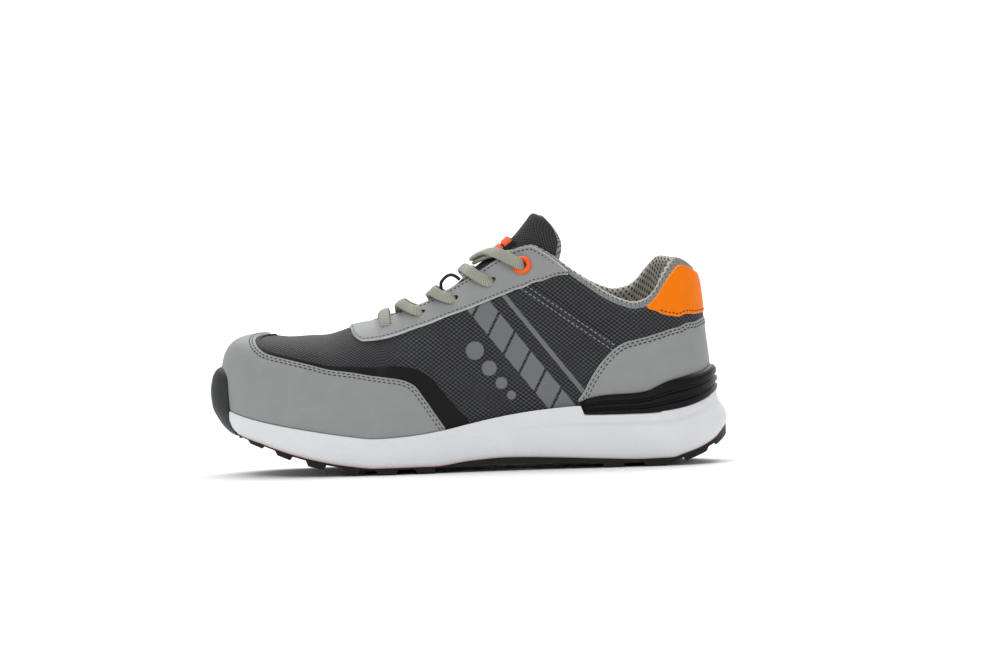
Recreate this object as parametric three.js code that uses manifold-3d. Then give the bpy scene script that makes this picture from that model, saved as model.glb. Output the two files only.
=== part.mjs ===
// Low-cut safety trainer for the left foot, built as the pieces that a shoemaker puts together.
// Millimetres. The toe points to -X, the lateral side faces -Y, +Z is up and the floor is z = 0.
import * as THREE from 'three';
import { mergeVertices } from 'three/addons/utils/BufferGeometryUtils.js';
import Module from 'manifold-3d';

const wasm = await Module();
wasm.setup();

// Overall lengths and widths
const shoeLength = 300;
const toeReach = 9.5; // bumper ahead of the last's toe
const heelReach = 11.5; // sole behind the last's heel
const ballWidth = 94.4; // last across the ball
const seatWidth = 66.6; // last across the heel seat
const toeRound = 50; // length over which the toe closes
const heelRound = 33; // length over which the heel closes
const toeSquareness = 2.4;
const heelSquareness = 2.05;

// Heights above the floor
const toeHeight = 80.4;
const instepHeight = 128;
const ankleHeight = 91.5;
const heelHeight = 116.5;
const medialRise = 6.5; // the collar dips less on the medial side
const medialLead = 0.04; // and further forward, by this share of the last
const toeSpring = 22;
const heelKick = 16; // rise of the tread at the back of the heel
const foreStack = 15; // foot plane at the ball
const heelStack = 30; // foot plane at the heel

// Walls, gaps and steps
const clearance = 0.3; // between pieces that touch
const wall = 2; // upper's fabric with its lining
const collarPad = 4.5; // foam added to the wall at the collar
const collarPuff = 1.6; // how far the padding swells outwards
const padStart = 0.62; // padding begins at this share of the last
const padFull = 0.78; // and is full from here to the heel
const padBottom = 0.5; // padding begins at this share of a rib
const padBody = 0.85; // and is full from here up
const edgeRoll = 0.35; // bulge of the top edge as a share of its thickness
const sideFlare = 5; // how far the last's sides lean out
const soleReach = 10; // scale of the midsole's reach beyond the last
const overlay = 1.4; // leather panels on the upper
const lipHeight = 6; // midsole rim above the foot plane
const insoleThickness = 4.5;
const outsoleThickness = 5;
const lugDepth = 3;
const lugDraft = 1.3; // how much further apart the lugs are at the floor, at each side
const centreGroove = 5;
const bumperTop = 62.7;
const bumperHalf = 0.081; // half of the bumper, as a share of the way round to the heel
const bumperDrop = 5; // how much lower its ends are than its middle
const bumperThinning = 0.6; // share of its reach that its ends lack
const bumperRoot = 11.4; // how far it reaches in under the toe
const clipHeight = 12;
const clipProud = 5.2;
const trimFilm = 0.6; // film beside the toe panel
const tongueRise = 19.5; // tongue's tip above the instep
const tongueHeight = instepHeight + tongueRise;
const tonguePadding = 8;
const tongueThinning = 0.65; // share of the padding that its side edges lack
const tongueRoundness = 2.1; // power with which the crest falls to the side edges
const labelThickness = 1.6;
const labelSeat = 0.5; // label over the tongue's rounded crest
const labelFrom = 0.56; // its two ends as shares of the tongue
const labelTo = 0.7;
const labelHalf = 0.42; // half its width as a share of the tongue's half width
const laceWidth = 6.4;
const laceThickness = 2.6;
const laceSlack = 1.2; // air under a lace that stands off what it crosses
const laceStop = 3.6; // how far short of the throat's far edge a pass ends
const laceBehind = 0.032; // share of the last by which it ends behind the far hole
const throatEdge = 0.985; // share of a rib at which a lace turns over the edge
const laceHoleLong = 7.4;
const laceHoleWide = 4.4;
const holeReach = 11.2; // length of the punch that cuts the lace holes
const eyeletBore = 4.8;
const eyeletWidth = 10.8;
const eyeletRise = 2;
const eyeletSeat = 0.7; // flat ring over the curved panel
const keeperWidth = 4;
const keeperThickness = 1;
const keeperRise = 6.5;
const keeperFrom = 0.46; // its two feet as shares of the last
const keeperTo = 0.492;
const keeperShoulder = 0.006; // how far each leg leans in, as such a share

const heelX = shoeLength / 2 - heelReach;
const toeX = toeReach - shoeLength / 2;
const lastLength = heelX - toeX;

// Plan of the last from toe (0) to heel (1): half widths as shares of the ball and seat
// widths, and the centre's offset to the medial side as a share of the ball width.
const PLAN = [
  { at: 0, ball: 0.445, seat: 0, centre: 0.07 },
  { at: 0.12, ball: 0.487, seat: 0, centre: 0.026 },
  { at: 0.23, ball: 0.5, seat: 0, centre: 0.005 },
  { at: 0.31, ball: 0.493, seat: 0, centre: -0.013 },
  { at: 0.38, ball: 0.4, seat: 0.087, centre: -0.027 },
  { at: 0.48, ball: 0.25, seat: 0.2, centre: -0.044 },
  { at: 0.58, ball: 0.1, seat: 0.343, centre: -0.049 },
  { at: 0.68, ball: 0, seat: 0.473, centre: -0.034 },
  { at: 0.8, ball: 0, seat: 0.493, centre: -0.013 },
  { at: 0.9, ball: 0, seat: 0.5, centre: 0 },
  { at: 1, ball: 0, seat: 0.5, centre: 0 },
];

// Foot plane along the last: shares of the two stack heights and of the toe spring. The
// midsole's rim stands above it by a share of the lip height.
const FOOT_PLANE = [
  { at: 0, fore: 1, heel: 0, spring: 0.86, rim: 1 },
  { at: 0.035, fore: 1, heel: 0, spring: 0.68, rim: 1 },
  { at: 0.085, fore: 1, heel: 0, spring: 0.5, rim: 1 },
  { at: 0.13, fore: 1, heel: 0, spring: 0.37, rim: 1 },
  { at: 0.19, fore: 1, heel: 0, spring: 0.22, rim: 1 },
  { at: 0.25, fore: 1, heel: 0, spring: 0.09, rim: 1 },
  { at: 0.31, fore: 1, heel: 0, spring: 0, rim: 1 },
  { at: 0.375, fore: 0.9, heel: 0.08, spring: 0, rim: 1 },
  { at: 0.44, fore: 0.7, heel: 0.26, spring: 0, rim: 1 },
  { at: 0.5, fore: 0.45, heel: 0.5, spring: 0, rim: 1 },
  { at: 0.56, fore: 0.25, heel: 0.71, spring: 0, rim: 1 },
  { at: 0.63, fore: 0.1, heel: 0.88, spring: 0, rim: 1 },
  { at: 0.69, fore: 0, heel: 0.98, spring: 0, rim: 1 },
  { at: 0.73, fore: 0, heel: 1, spring: 0, rim: 1 },
  { at: 0.9, fore: 0, heel: 1, spring: 0, rim: 1.1 },
  { at: 0.96, fore: 0, heel: 1, spring: 0, rim: 1.6 },
  { at: 1, fore: 0, heel: 1, spring: 0, rim: 2.4 },
];

// Top of each rib: lean is how much further along the last it ends, gap its distance from
// the centre as a share of the half width, and the rest shares of the four heights.
const TOP_LINE = [
  { at: 0, lean: 0.109, gap: 0, toe: 1, instep: 0, ankle: 0, heel: 0 },
  { at: 0.04, lean: 0.082, gap: 0, toe: 0.993, instep: 0, ankle: 0, heel: 0 },
  { at: 0.1, lean: 0.045, gap: 0, toe: 0.987, instep: 0, ankle: 0, heel: 0 },
  { at: 0.2, lean: 0.0047, gap: 0, toe: 0.994, instep: 0, ankle: 0, heel: 0 },
  { at: 0.27, lean: 0, gap: 0, toe: 0.92, instep: 0.08, ankle: 0, heel: 0 },
  { at: 0.314, lean: 0, gap: 0, toe: 0.875, instep: 0.125, ankle: 0, heel: 0 },
  { at: 0.34, lean: 0, gap: 0.17, toe: 0.83, instep: 0.17, ankle: 0, heel: 0 },
  { at: 0.38, lean: 0, gap: 0.22, toe: 0.757, instep: 0.243, ankle: 0, heel: 0 },
  { at: 0.43, lean: 0, gap: 0.275, toe: 0.645, instep: 0.355, ankle: 0, heel: 0 },
  { at: 0.47, lean: 0, gap: 0.32, toe: 0.51, instep: 0.49, ankle: 0, heel: 0 },
  { at: 0.51, lean: 0, gap: 0.35, toe: 0.378, instep: 0.622, ankle: 0, heel: 0 },
  { at: 0.55, lean: 0, gap: 0.39, toe: 0.23, instep: 0.77, ankle: 0, heel: 0 },
  { at: 0.585, lean: 0, gap: 0.42, toe: 0.11, instep: 0.89, ankle: 0, heel: 0 },
  { at: 0.615, lean: 0, gap: 0.45, toe: 0.025, instep: 0.975, ankle: 0, heel: 0 },
  { at: 0.64, lean: 0, gap: 0.5, toe: 0, instep: 1, ankle: 0, heel: 0 },
  { at: 0.665, lean: 0, gap: 0.585, toe: 0, instep: 0.91, ankle: 0.09, heel: 0 },
  { at: 0.69, lean: 0, gap: 0.667, toe: 0, instep: 0.77, ankle: 0.23, heel: 0 },
  { at: 0.72, lean: 0, gap: 0.755, toe: 0, instep: 0.568, ankle: 0.432, heel: 0 },
  { at: 0.76, lean: 0, gap: 0.836, toe: 0, instep: 0.34, ankle: 0.66, heel: 0 },
  { at: 0.79, lean: 0, gap: 0.887, toe: 0, instep: 0.18, ankle: 0.82, heel: 0 },
  { at: 0.82, lean: 0, gap: 0.91, toe: 0, instep: 0.065, ankle: 0.935, heel: 0 },
  { at: 0.85, lean: 0, gap: 0.91, toe: 0, instep: 0, ankle: 1, heel: 0 },
  { at: 0.88, lean: -0.004, gap: 0.9, toe: 0, instep: 0, ankle: 0.92, heel: 0.08 },
  { at: 0.9, lean: -0.006, gap: 0.89, toe: 0, instep: 0, ankle: 0.73, heel: 0.27 },
  { at: 0.92, lean: -0.01, gap: 0.88, toe: 0, instep: 0, ankle: 0.44, heel: 0.56 },
  { at: 0.94, lean: -0.014, gap: 0.87, toe: 0, instep: 0, ankle: 0.18, heel: 0.82 },
  { at: 0.96, lean: -0.0175, gap: 0.86, toe: 0, instep: 0, ankle: 0, heel: 1 },
  { at: 0.98, lean: -0.0195, gap: 0.855, toe: 0, instep: 0, ankle: 0, heel: 0.985 },
  { at: 1, lean: -0.0233, gap: 0.85, toe: 0, instep: 0, ankle: 0, heel: 0.953 },
];

// Bow of each rib: wall and drop are shares of its height, crown a share of its reach and
// flare a share of the side flare.
const RIB_BOW = [
  { at: 0, wall: 0.95, flare: 1, crown: 0.9, drop: 0 },
  { at: 0.05, wall: 0.93, flare: 1, crown: 0.85, drop: 0 },
  { at: 0.12, wall: 0.85, flare: 1, crown: 0.75, drop: 0 },
  { at: 0.2, wall: 0.72, flare: 1, crown: 0.62, drop: 0 },
  { at: 0.314, wall: 0.6, flare: 1, crown: 0.48, drop: 0 },
  { at: 0.36, wall: 0.55, flare: 1, crown: 0.42, drop: 0.05 },
  { at: 0.43, wall: 0.5, flare: 0.9, crown: 0.36, drop: 0.1 },
  { at: 0.51, wall: 0.45, flare: 0.8, crown: 0.32, drop: 0.16 },
  { at: 0.6, wall: 0.42, flare: 0.7, crown: 0.3, drop: 0.22 },
  { at: 0.69, wall: 0.4, flare: 0.7, crown: 0.3, drop: 0.3 },
  { at: 0.8, wall: 0.36, flare: 0.7, crown: 0.3, drop: 0.32 },
  { at: 0.9, wall: 0.34, flare: 0.7, crown: 0.3, drop: 0.32 },
  { at: 1, wall: 0.34, flare: 0.5, crown: 0.4, drop: 0.34 },
];

// Tread and outsole along the whole shoe: the tread's height as shares of toe spring and
// heel kick, and how thick the outsole and deep its lugs are as shares of their sizes.
const TREAD = [
  { at: 0, spring: 1.5, kick: 0, build: 0.4, lug: 0.4 },
  { at: 0.033, spring: 1.18, kick: 0, build: 0.46, lug: 0.45 },
  { at: 0.057, spring: 1, kick: 0, build: 0.5, lug: 0.5 },
  { at: 0.1, spring: 0.77, kick: 0, build: 0.62, lug: 0.6 },
  { at: 0.153, spring: 0.47, kick: 0, build: 0.82, lug: 0.85 },
  { at: 0.207, spring: 0.23, kick: 0, build: 0.96, lug: 1 },
  { at: 0.273, spring: 0.06, kick: 0, build: 0.95, lug: 1 },
  { at: 0.32, spring: 0, kick: 0, build: 0.92, lug: 1 },
  { at: 0.43, spring: 0, kick: 0, build: 0.92, lug: 1.1 },
  { at: 0.5, spring: 0, kick: 0, build: 1.42, lug: 1.2 },
  { at: 0.57, spring: 0, kick: 0, build: 1.66, lug: 1.25 },
  { at: 0.67, spring: 0, kick: 0, build: 1.46, lug: 1.15 },
  { at: 0.75, spring: 0, kick: 0, build: 1.2, lug: 0.85 },
  { at: 0.83, spring: 0, kick: 0, build: 1, lug: 0.8 },
  { at: 0.885, spring: 0, kick: 0, build: 1.05, lug: 0.8 },
  { at: 0.91, spring: 0, kick: 0.14, build: 1, lug: 0.8 },
  { at: 0.945, spring: 0, kick: 0.38, build: 0.95, lug: 0.7 },
  { at: 0.97, spring: 0, kick: 0.62, build: 1, lug: 0.6 },
  { at: 0.987, spring: 0, kick: 0.85, build: 1.25, lug: 0.5 },
  { at: 1, spring: 0, kick: 1.1, build: 1.4, lug: 0.4 },
];

// Side of the midsole from its bottom edge (0) to its rim (1): how far it stands out from
// the last, as a share of the sole's reach, at the toe, along the forefoot, along the rear
// and at the heel.
const MIDSOLE_SIDE = [
  { level: 0, toe: -0.3, fore: 0.36, rear: 0.48, heel: 1 },
  { level: 0.09, toe: -0.07, fore: 0.49, rear: 0.61, heel: 1.08 },
  { level: 0.32, toe: 0.12, fore: 0.55, rear: 0.7, heel: 1.01 },
  { level: 0.62, toe: 0.24, fore: 0.49, rear: 0.67, heel: 0.7 },
  { level: 0.7, toe: 0.25, fore: 0.46, rear: 0.46, heel: 0.6 },
  { level: 0.88, toe: 0.26, fore: 0.42, rear: 0.44, heel: 0.5 },
  { level: 1, toe: 0.2, fore: 0.33, rear: 0.37, heel: 0.42 },
];

// Toe bumper's outer face at the centre line, from under the sole to its top edge: heights
// from the toe spring (0) to the bumper's top (1), and reach as a share of the toe reach.
const BUMPER_FACE = [
  { rise: 0, reach: -0.85 },
  { rise: 0.035, reach: -0.35 },
  { rise: 0.105, reach: 0.05 },
  { rise: 0.25, reach: 0.53 },
  { rise: 0.45, reach: 0.92 },
  { rise: 0.65, reach: 1 },
  { rise: 0.86, reach: 0.86 },
  { rise: 0.96, reach: 0.62 },
  { rise: 1, reach: 0.38 },
];

// Grooves across the tread, as shares of the shoe's length, and how many slices each takes.
const GROOVES = [
  { from: 0.053, to: 0.074, slices: 1 },
  { from: 0.107, to: 0.127, slices: 1 },
  { from: 0.161, to: 0.186, slices: 1 },
  { from: 0.225, to: 0.256, slices: 1 },
  { from: 0.29, to: 0.319, slices: 1 },
  { from: 0.361, to: 0.394, slices: 1 },
  { from: 0.434, to: 0.752, slices: 4 },
  { from: 0.795, to: 0.831, slices: 1 },
  { from: 0.878, to: 0.908, slices: 1 },
  { from: 0.958, to: 0.968, slices: 1 },
];

const CENTRE_GROOVES = [
  { from: 0.08, to: 0.45, slices: 6 },
  { from: 0.74, to: 0.955, slices: 4 },
];

// Heel clip round the back: bottom and top as shares of its height above the foot plane, and
// how far it stands out as a share of its own projection.
const CLIP = [
  { at: 0.735, low: 0.05, high: 0.72, proud: 0.86 },
  { at: 0.754, low: 0.03, high: 0.86, proud: 0.88 },
  { at: 0.785, low: 0.02, high: 0.97, proud: 0.9 },
  { at: 0.847, low: 0.02, high: 1.03, proud: 0.92 },
  { at: 0.873, low: 0.04, high: 1.13, proud: 0.94 },
  { at: 0.894, low: 0.08, high: 1.36, proud: 0.96 },
  { at: 0.915, low: 0.15, high: 1.57, proud: 0.97 },
  { at: 0.95, low: 0.32, high: 1.77, proud: 1 },
  { at: 0.982, low: 0.66, high: 1.95, proud: 1 },
  { at: 1, low: 0.98, high: 2.2, proud: 1 },
];

// Ribbed face of the heel clip from its bottom (0) to its top (1).
const CLIP_FACE = [
  { level: 0, out: 0.8 },
  { level: 0.07, out: 1 },
  { level: 0.22, out: 1 },
  { level: 0.27, out: 0.78 },
  { level: 0.34, out: 0.78 },
  { level: 0.39, out: 1 },
  { level: 0.53, out: 1 },
  { level: 0.58, out: 0.78 },
  { level: 0.65, out: 0.78 },
  { level: 0.7, out: 0.98 },
  { level: 0.86, out: 0.95 },
  { level: 1, out: 0.62 },
];

// Edges of the panels on the upper, as shares of each rib from the foot plane to its top.
const TOE_PANEL = [
  { at: 0, high: 0.955 },
  { at: 0.006, high: 0.9 },
  { at: 0.025, high: 0.76 },
  { at: 0.045, high: 0.63 },
  { at: 0.062, high: 0.545 },
  { at: 0.083, high: 0.488 },
  { at: 0.128, high: 0.458 },
  { at: 0.193, high: 0.433 },
  { at: 0.256, high: 0.397 },
  { at: 0.318, high: 0.369 },
  { at: 0.362, high: 0.35 },
  { at: 0.391, high: 0.31 },
  { at: 0.411, high: 0.234 },
  { at: 0.435, high: 0.132 },
  { at: 0.452, high: 0.062 },
];

const TOE_TRIM = [
  { at: 0, high: 0.998 },
  { at: 0.006, high: 0.96 },
  { at: 0.025, high: 0.825 },
  { at: 0.045, high: 0.7 },
  { at: 0.062, high: 0.61 },
  { at: 0.083, high: 0.55 },
  { at: 0.128, high: 0.505 },
  { at: 0.193, high: 0.475 },
  { at: 0.256, high: 0.445 },
  { at: 0.318, high: 0.435 },
  { at: 0.35, high: 0.44 },
  { at: 0.38, high: 0.425 },
  { at: 0.425, high: 0.34 },
  { at: 0.45, high: 0.245 },
  { at: 0.478, high: 0.14 },
  { at: 0.5, high: 0.07 },
];

const EYESTAY = [
  { at: 0.262, low: 0.9 },
  { at: 0.266, low: 0.78 },
  { at: 0.276, low: 0.69 },
  { at: 0.29, low: 0.65 },
  { at: 0.32, low: 0.647 },
  { at: 0.363, low: 0.681 },
  { at: 0.404, low: 0.71 },
  { at: 0.446, low: 0.718 },
  { at: 0.5, low: 0.71 },
  { at: 0.573, low: 0.7 },
  { at: 0.615, low: 0.708 },
  { at: 0.657, low: 0.777 },
  { at: 0.699, low: 0.912 },
  { at: 0.716, low: 0.97 },
];

const COUNTER = [
  { at: 0.729, high: 0.1 },
  { at: 0.739, high: 0.145 },
  { at: 0.757, high: 0.27 },
  { at: 0.776, high: 0.395 },
  { at: 0.797, high: 0.515 },
  { at: 0.818, high: 0.61 },
  { at: 0.839, high: 0.668 },
  { at: 0.862, high: 0.695 },
  { at: 0.883, high: 0.693 },
  { at: 0.904, high: 0.66 },
  { at: 0.926, high: 0.615 },
  { at: 0.949, high: 0.586 },
  { at: 0.972, high: 0.598 },
  { at: 1, high: 0.665 },
];

const HEEL_TAB = [
  { at: 0.88, low: 0.95, high: 0.98 },
  { at: 0.898, low: 0.857, high: 0.98 },
  { at: 0.912, low: 0.77, high: 0.98 },
  { at: 0.928, low: 0.7, high: 0.98 },
  { at: 0.951, low: 0.643, high: 0.98 },
  { at: 0.975, low: 0.65, high: 0.98 },
  { at: 1, low: 0.695, high: 0.983 },
];

// Lace holes up each side of the throat.
const LACE_HOLES = [
  { at: 0.338, up: 0.81 },
  { at: 0.408, up: 0.865 },
  { at: 0.477, up: 0.852 },
  { at: 0.555, up: 0.84 },
  { at: 0.622, up: 0.862 },
];

// Tongue from its sewn end (0) to its tip (1): places along the last and shares of the
// tongue's height for the crest and for the side edges, the half width as a share of the
// ball width, and the padding as a share of the tongue's thickness.
const TONGUE = [
  { t: 0, crest: 0.3, top: 0.545, edge: 0.31, edgeTop: 0.515, half: 0.165, pad: 0.35 },
  { t: 0.1, crest: 0.338, top: 0.577, edge: 0.345, edgeTop: 0.54, half: 0.185, pad: 0.4 },
  { t: 0.22, crest: 0.4, top: 0.628, edge: 0.41, edgeTop: 0.575, half: 0.19, pad: 0.5 },
  { t: 0.36, crest: 0.47, top: 0.705, edge: 0.485, edgeTop: 0.625, half: 0.188, pad: 0.6 },
  { t: 0.5, crest: 0.53, top: 0.8, edge: 0.565, edgeTop: 0.69, half: 0.185, pad: 0.75 },
  { t: 0.62, crest: 0.58, top: 0.865, edge: 0.64, edgeTop: 0.745, half: 0.178, pad: 0.9 },
  { t: 0.74, crest: 0.609, top: 0.915, edge: 0.683, edgeTop: 0.8, half: 0.178, pad: 1 },
  { t: 0.86, crest: 0.63, top: 0.962, edge: 0.689, edgeTop: 0.872, half: 0.178, pad: 0.95 },
  { t: 0.95, crest: 0.644, top: 0.99, edge: 0.672, edgeTop: 0.94, half: 0.14, pad: 0.75 },
  { t: 1, crest: 0.652, top: 1, edge: 0.66, edgeTop: 0.985, half: 0.075, pad: 0.45 },
];

// Piecewise cubic through one column of a table, with no overshoot between its rows.
function follow(table, column, at, key = 'at') {
  const last = table.length - 1;
  let i = 0;
  while (i < last - 1 && at > table[i + 1][key]) i++;
  const step = (k) => table[k + 1][key] - table[k][key];
  const rise = (k) => (table[k + 1][column] - table[k][column]) / step(k);
  const slope = (k) => {
    if (k <= 0) return rise(0);
    if (k >= last) return rise(last - 1);
    const before = rise(k - 1);
    const after = rise(k);
    if (before * after <= 0) return 0;
    const near = 2 * step(k) + step(k - 1);
    const far = step(k) + 2 * step(k - 1);
    return (near + far) / (near / before + far / after);
  };
  const t = THREE.MathUtils.clamp((at - table[i][key]) / step(i), 0, 1);
  const s = 1 - t;
  return (
    table[i][column] * s * s * (1 + 2 * t) +
    table[i + 1][column] * t * t * (3 - 2 * t) +
    (slope(i) * s - slope(i + 1) * t) * s * t * step(i)
  );
}

// How far a superellipse end has opened at a distance from its tip.
function roundEnd(distance, length, squareness) {
  const left = 1 - THREE.MathUtils.clamp(distance / length, 0, 1);
  return (1 - left ** squareness) ** (1 / squareness);
}

const lastX = (at) => toeX + lastLength * at;
const centreY = (at) => ballWidth * follow(PLAN, 'centre', at);
const lastAt = (x) => THREE.MathUtils.clamp((x - toeX) / lastLength, 0, 1);

function halfWidth(at) {
  const open =
    roundEnd(at * lastLength, toeRound, toeSquareness) *
    roundEnd((1 - at) * lastLength, heelRound, heelSquareness);
  return open * (ballWidth * follow(PLAN, 'ball', at) + seatWidth * follow(PLAN, 'seat', at));
}

function footPlane(x) {
  const at = lastAt(x);
  return (
    foreStack * follow(FOOT_PLANE, 'fore', at) +
    heelStack * follow(FOOT_PLANE, 'heel', at) +
    toeSpring * follow(FOOT_PLANE, 'spring', at)
  );
}

const rimHeight = (x) => footPlane(x) + lipHeight * follow(FOOT_PLANE, 'rim', lastAt(x));
const shoeAt = (x) => THREE.MathUtils.clamp(x / shoeLength + 0.5, 0, 1);

function treadHeight(x) {
  const at = shoeAt(x);
  return toeSpring * follow(TREAD, 'spring', at) + heelKick * follow(TREAD, 'kick', at);
}

const webHeight = (x) => treadHeight(x) + lugDepth * follow(TREAD, 'lug', shoeAt(x));
const soleHeight = (x) => treadHeight(x) + outsoleThickness * follow(TREAD, 'build', shoeAt(x));

// Ribs run round the last: u is 0 at the toe and 1 or -1 at the heel, with the lateral side
// negative. Their feet lie close together at the toe and at the heel.
const ribAt = (u) => (1 - Math.cos(Math.PI * Math.abs(u))) / 2;
const wrap = (u) => (u > 1 ? u - 2 : u < -1 ? u + 2 : u);

function footPoint(u, out = 0) {
  const at = (v) => {
    const share = ribAt(v);
    return new THREE.Vector2(lastX(share), centreY(share) + Math.sign(v) * halfWidth(share));
  };
  const step = 0.002;
  const point = at(u);
  if (out === 0) return point;
  const along = at(wrap(u + step)).sub(at(wrap(u - step))).normalize();
  return point.add(new THREE.Vector2(along.y, -along.x).multiplyScalar(-out));
}

const isClosedOver = (u) => follow(TOP_LINE, 'gap', ribAt(u)) < 1e-6;

function topPoint(u) {
  const at = ribAt(u);
  const over = at + follow(TOP_LINE, 'lean', at);
  const side = Math.sign(u);
  const isMedial = side > 0;
  const ankle = ankleHeight + (isMedial ? medialRise : 0);
  const lead = medialLead * smooth(0.6, 0.84, at) * (1 - smooth(0.9, 1, at));
  const level = at + (isMedial ? lead : 0);
  return new THREE.Vector3(
    lastX(over),
    centreY(over) + side * halfWidth(at) * follow(TOP_LINE, 'gap', at),
    toeHeight * follow(TOP_LINE, 'toe', level) +
      instepHeight * follow(TOP_LINE, 'instep', level) +
      ankle * follow(TOP_LINE, 'ankle', level) +
      heelHeight * follow(TOP_LINE, 'heel', level),
  );
}

// A point of the upper's outer face: v is 0 at the foot plane and 1 at the top line. Where the
// vamp is closed over, a rib past its top runs on down the other side.
function upperPoint(u, v) {
  if (v > 1 && isClosedOver(u)) return upperPoint(-u, 2 - v);
  const at = ribAt(u);
  const foot = footPoint(u);
  const start = new THREE.Vector3(foot.x, foot.y, footPlane(foot.x) + clearance);
  const end = topPoint(u);
  const out = new THREE.Vector3(start.x - end.x, start.y - end.y, 0);
  const reach = out.length();
  out.normalize();
  const height = end.z - start.z;
  const bow = (column) => follow(RIB_BOW, column, at);
  const low = start.clone().addScaledVector(out, bow('flare') * sideFlare);
  low.z += height * bow('wall');
  const high = end.clone().addScaledVector(out, bow('crown') * reach);
  high.z -= height * bow('drop');
  const point = new THREE.Vector3();
  const w = 1 - v;
  point.addScaledVector(start, w ** 3);
  point.addScaledVector(low, 3 * w * w * v);
  point.addScaledVector(high, 3 * w * v * v);
  return point.addScaledVector(end, v ** 3);
}

function upperNormal(u, v) {
  const step = 0.004;
  const around = upperPoint(wrap(u + step), v).sub(upperPoint(wrap(u - step), v));
  const up = upperPoint(u, v + step).sub(upperPoint(u, Math.max(v - step, 0)));
  return up.cross(around).normalize();
}

const span = (from, to, steps) =>
  Array.from({ length: steps + 1 }, (_, i) => from + ((to - from) * i) / steps);

const smooth = (from, to, value) => THREE.MathUtils.smoothstep(value, from, to);

// Foam in the collar: none before the padding starts, full from there to the heel.
function padding(u, v) {
  const along = smooth(padStart, padFull, ribAt(u));
  return along * smooth(padBottom, padBody, v);
}

function offsetPoint(u, v, distance) {
  if (u < 0 && v >= 1 && isClosedOver(u)) return offsetPoint(-u, 2 - v, distance);
  const swell = collarPuff * padding(u, v) * (1 - smooth(0.9, 1.05, v));
  return upperPoint(u, v).addScaledVector(upperNormal(u, v), distance + swell);
}

const ribCount = 28; // ribs on each side
const rowCount = 8;
const liningRows = 4;
const tongueRows = 10;
const tongueColumns = 6;
const bumperColumns = 8;
const eyeletSides = 10;
const holeSides = 8;
const ribs = Array.from({ length: 2 * ribCount }, (_, i) => 1 - i / ribCount);

// Collects quads and triangles as plain points, and merges them into one closed solid.
class Skin {
  constructor() {
    this.points = [];
  }

  triangle(a, b, c) {
    for (const p of [a, b, c]) this.points.push(p.x, p.y, p.z);
  }

  quad(a, b, c, d) {
    this.triangle(a, b, c);
    this.triangle(a, c, d);
  }

  // Joins two rows of points of equal length, round and round if they are closed.
  strip(low, high, closed = true) {
    const count = low.length;
    for (let i = 0; i < (closed ? count : count - 1); i++) {
      const j = (i + 1) % count;
      this.quad(low[i], low[j], high[j], high[i]);
    }
  }

  solid() {
    return solidFrom(
      new THREE.BufferGeometry().setAttribute(
        'position',
        new THREE.Float32BufferAttribute(this.points, 3),
      ),
    );
  }
}

function solidFrom(geometry) {
  const bare = new THREE.BufferGeometry();
  const open = geometry.index ? geometry.toNonIndexed() : geometry;
  bare.setAttribute('position', open.getAttribute('position'));
  const merged = mergeVertices(bare, 1e-4);
  const index = merged.index.array;
  const kept = [];
  for (let i = 0; i < index.length; i += 3) {
    const [a, b, c] = [index[i], index[i + 1], index[i + 2]];
    if (a !== b && b !== c && c !== a) kept.push(a, b, c);
  }
  return new wasm.Manifold(
    new wasm.Mesh({
      numProp: 3,
      vertProperties: merged.attributes.position.array,
      triVerts: new Uint32Array(kept),
    }),
  );
}

function geometryFrom(solid) {
  const mesh = solid.getMesh();
  const geometry = new THREE.BufferGeometry();
  geometry.setAttribute('position', new THREE.BufferAttribute(mesh.vertProperties, 3));
  geometry.setIndex(new THREE.BufferAttribute(mesh.triVerts, 1));
  geometry.computeVertexNormals();
  return geometry;
}

// The largest piece of a solid that a cut has left in several.
function mainPiece(solid) {
  return solid.decompose().reduce((a, b) => (b.volume() > a.volume() ? b : a));
}

// A wall between two offsets of the upper's face, open at the top line and underneath.
function upperWall(outer, inner) {
  const skin = new Skin();
  const row = (v, offset) => ribs.map((u) => offsetPoint(u, v, offset(u, v)));
  const outside = span(0, 1, rowCount).map((v) => row(v, outer));
  const inside = span(0, 1, liningRows).map((v) => row(v, inner));
  for (let k = 0; k < rowCount; k++) skin.strip(outside[k], outside[k + 1]);
  for (let k = 0; k < liningRows; k++) skin.strip(inside[k + 1], inside[k]);
  skin.strip(inside[0], outside[0]);
  const edge = outside[rowCount];
  const lining = inside[liningRows];
  const roll = edge.map((p, i) => {
    const middle = p.clone().lerp(lining[i], 0.5);
    if (!isClosedOver(ribs[i])) {
      const rise = upperPoint(ribs[i], 1).sub(upperPoint(ribs[i], 0.97)).normalize();
      middle.addScaledVector(rise, edgeRoll * p.distanceTo(lining[i]));
    }
    return middle;
  });
  ribs.forEach((u, i) => {
    const j = (i + 1) % ribs.length;
    if (isClosedOver(u) && isClosedOver(ribs[j])) return;
    skin.quad(edge[i], edge[j], roll[j], roll[i]);
    skin.quad(roll[i], roll[j], lining[j], lining[i]);
  });
  return skin.solid();
}

// The upper's face as a filled form up to one of its rows, to cut neighbours with.
function upperForm(offset, rows) {
  const skin = new Skin();
  const levels = span(0, rows / rowCount, rows);
  const faces = levels.map((v) => ribs.map((u) => offsetPoint(u, v, offset)));
  const floor = faces[0].map((p) => new THREE.Vector3(p.x, p.y, p.z - clearance));
  skin.strip(floor, faces[0]);
  for (let k = 0; k < rows; k++) skin.strip(faces[k], faces[k + 1]);
  ladder(skin, faces[rows], true);
  ladder(skin, floor, false);
  return skin.solid();
}

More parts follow.
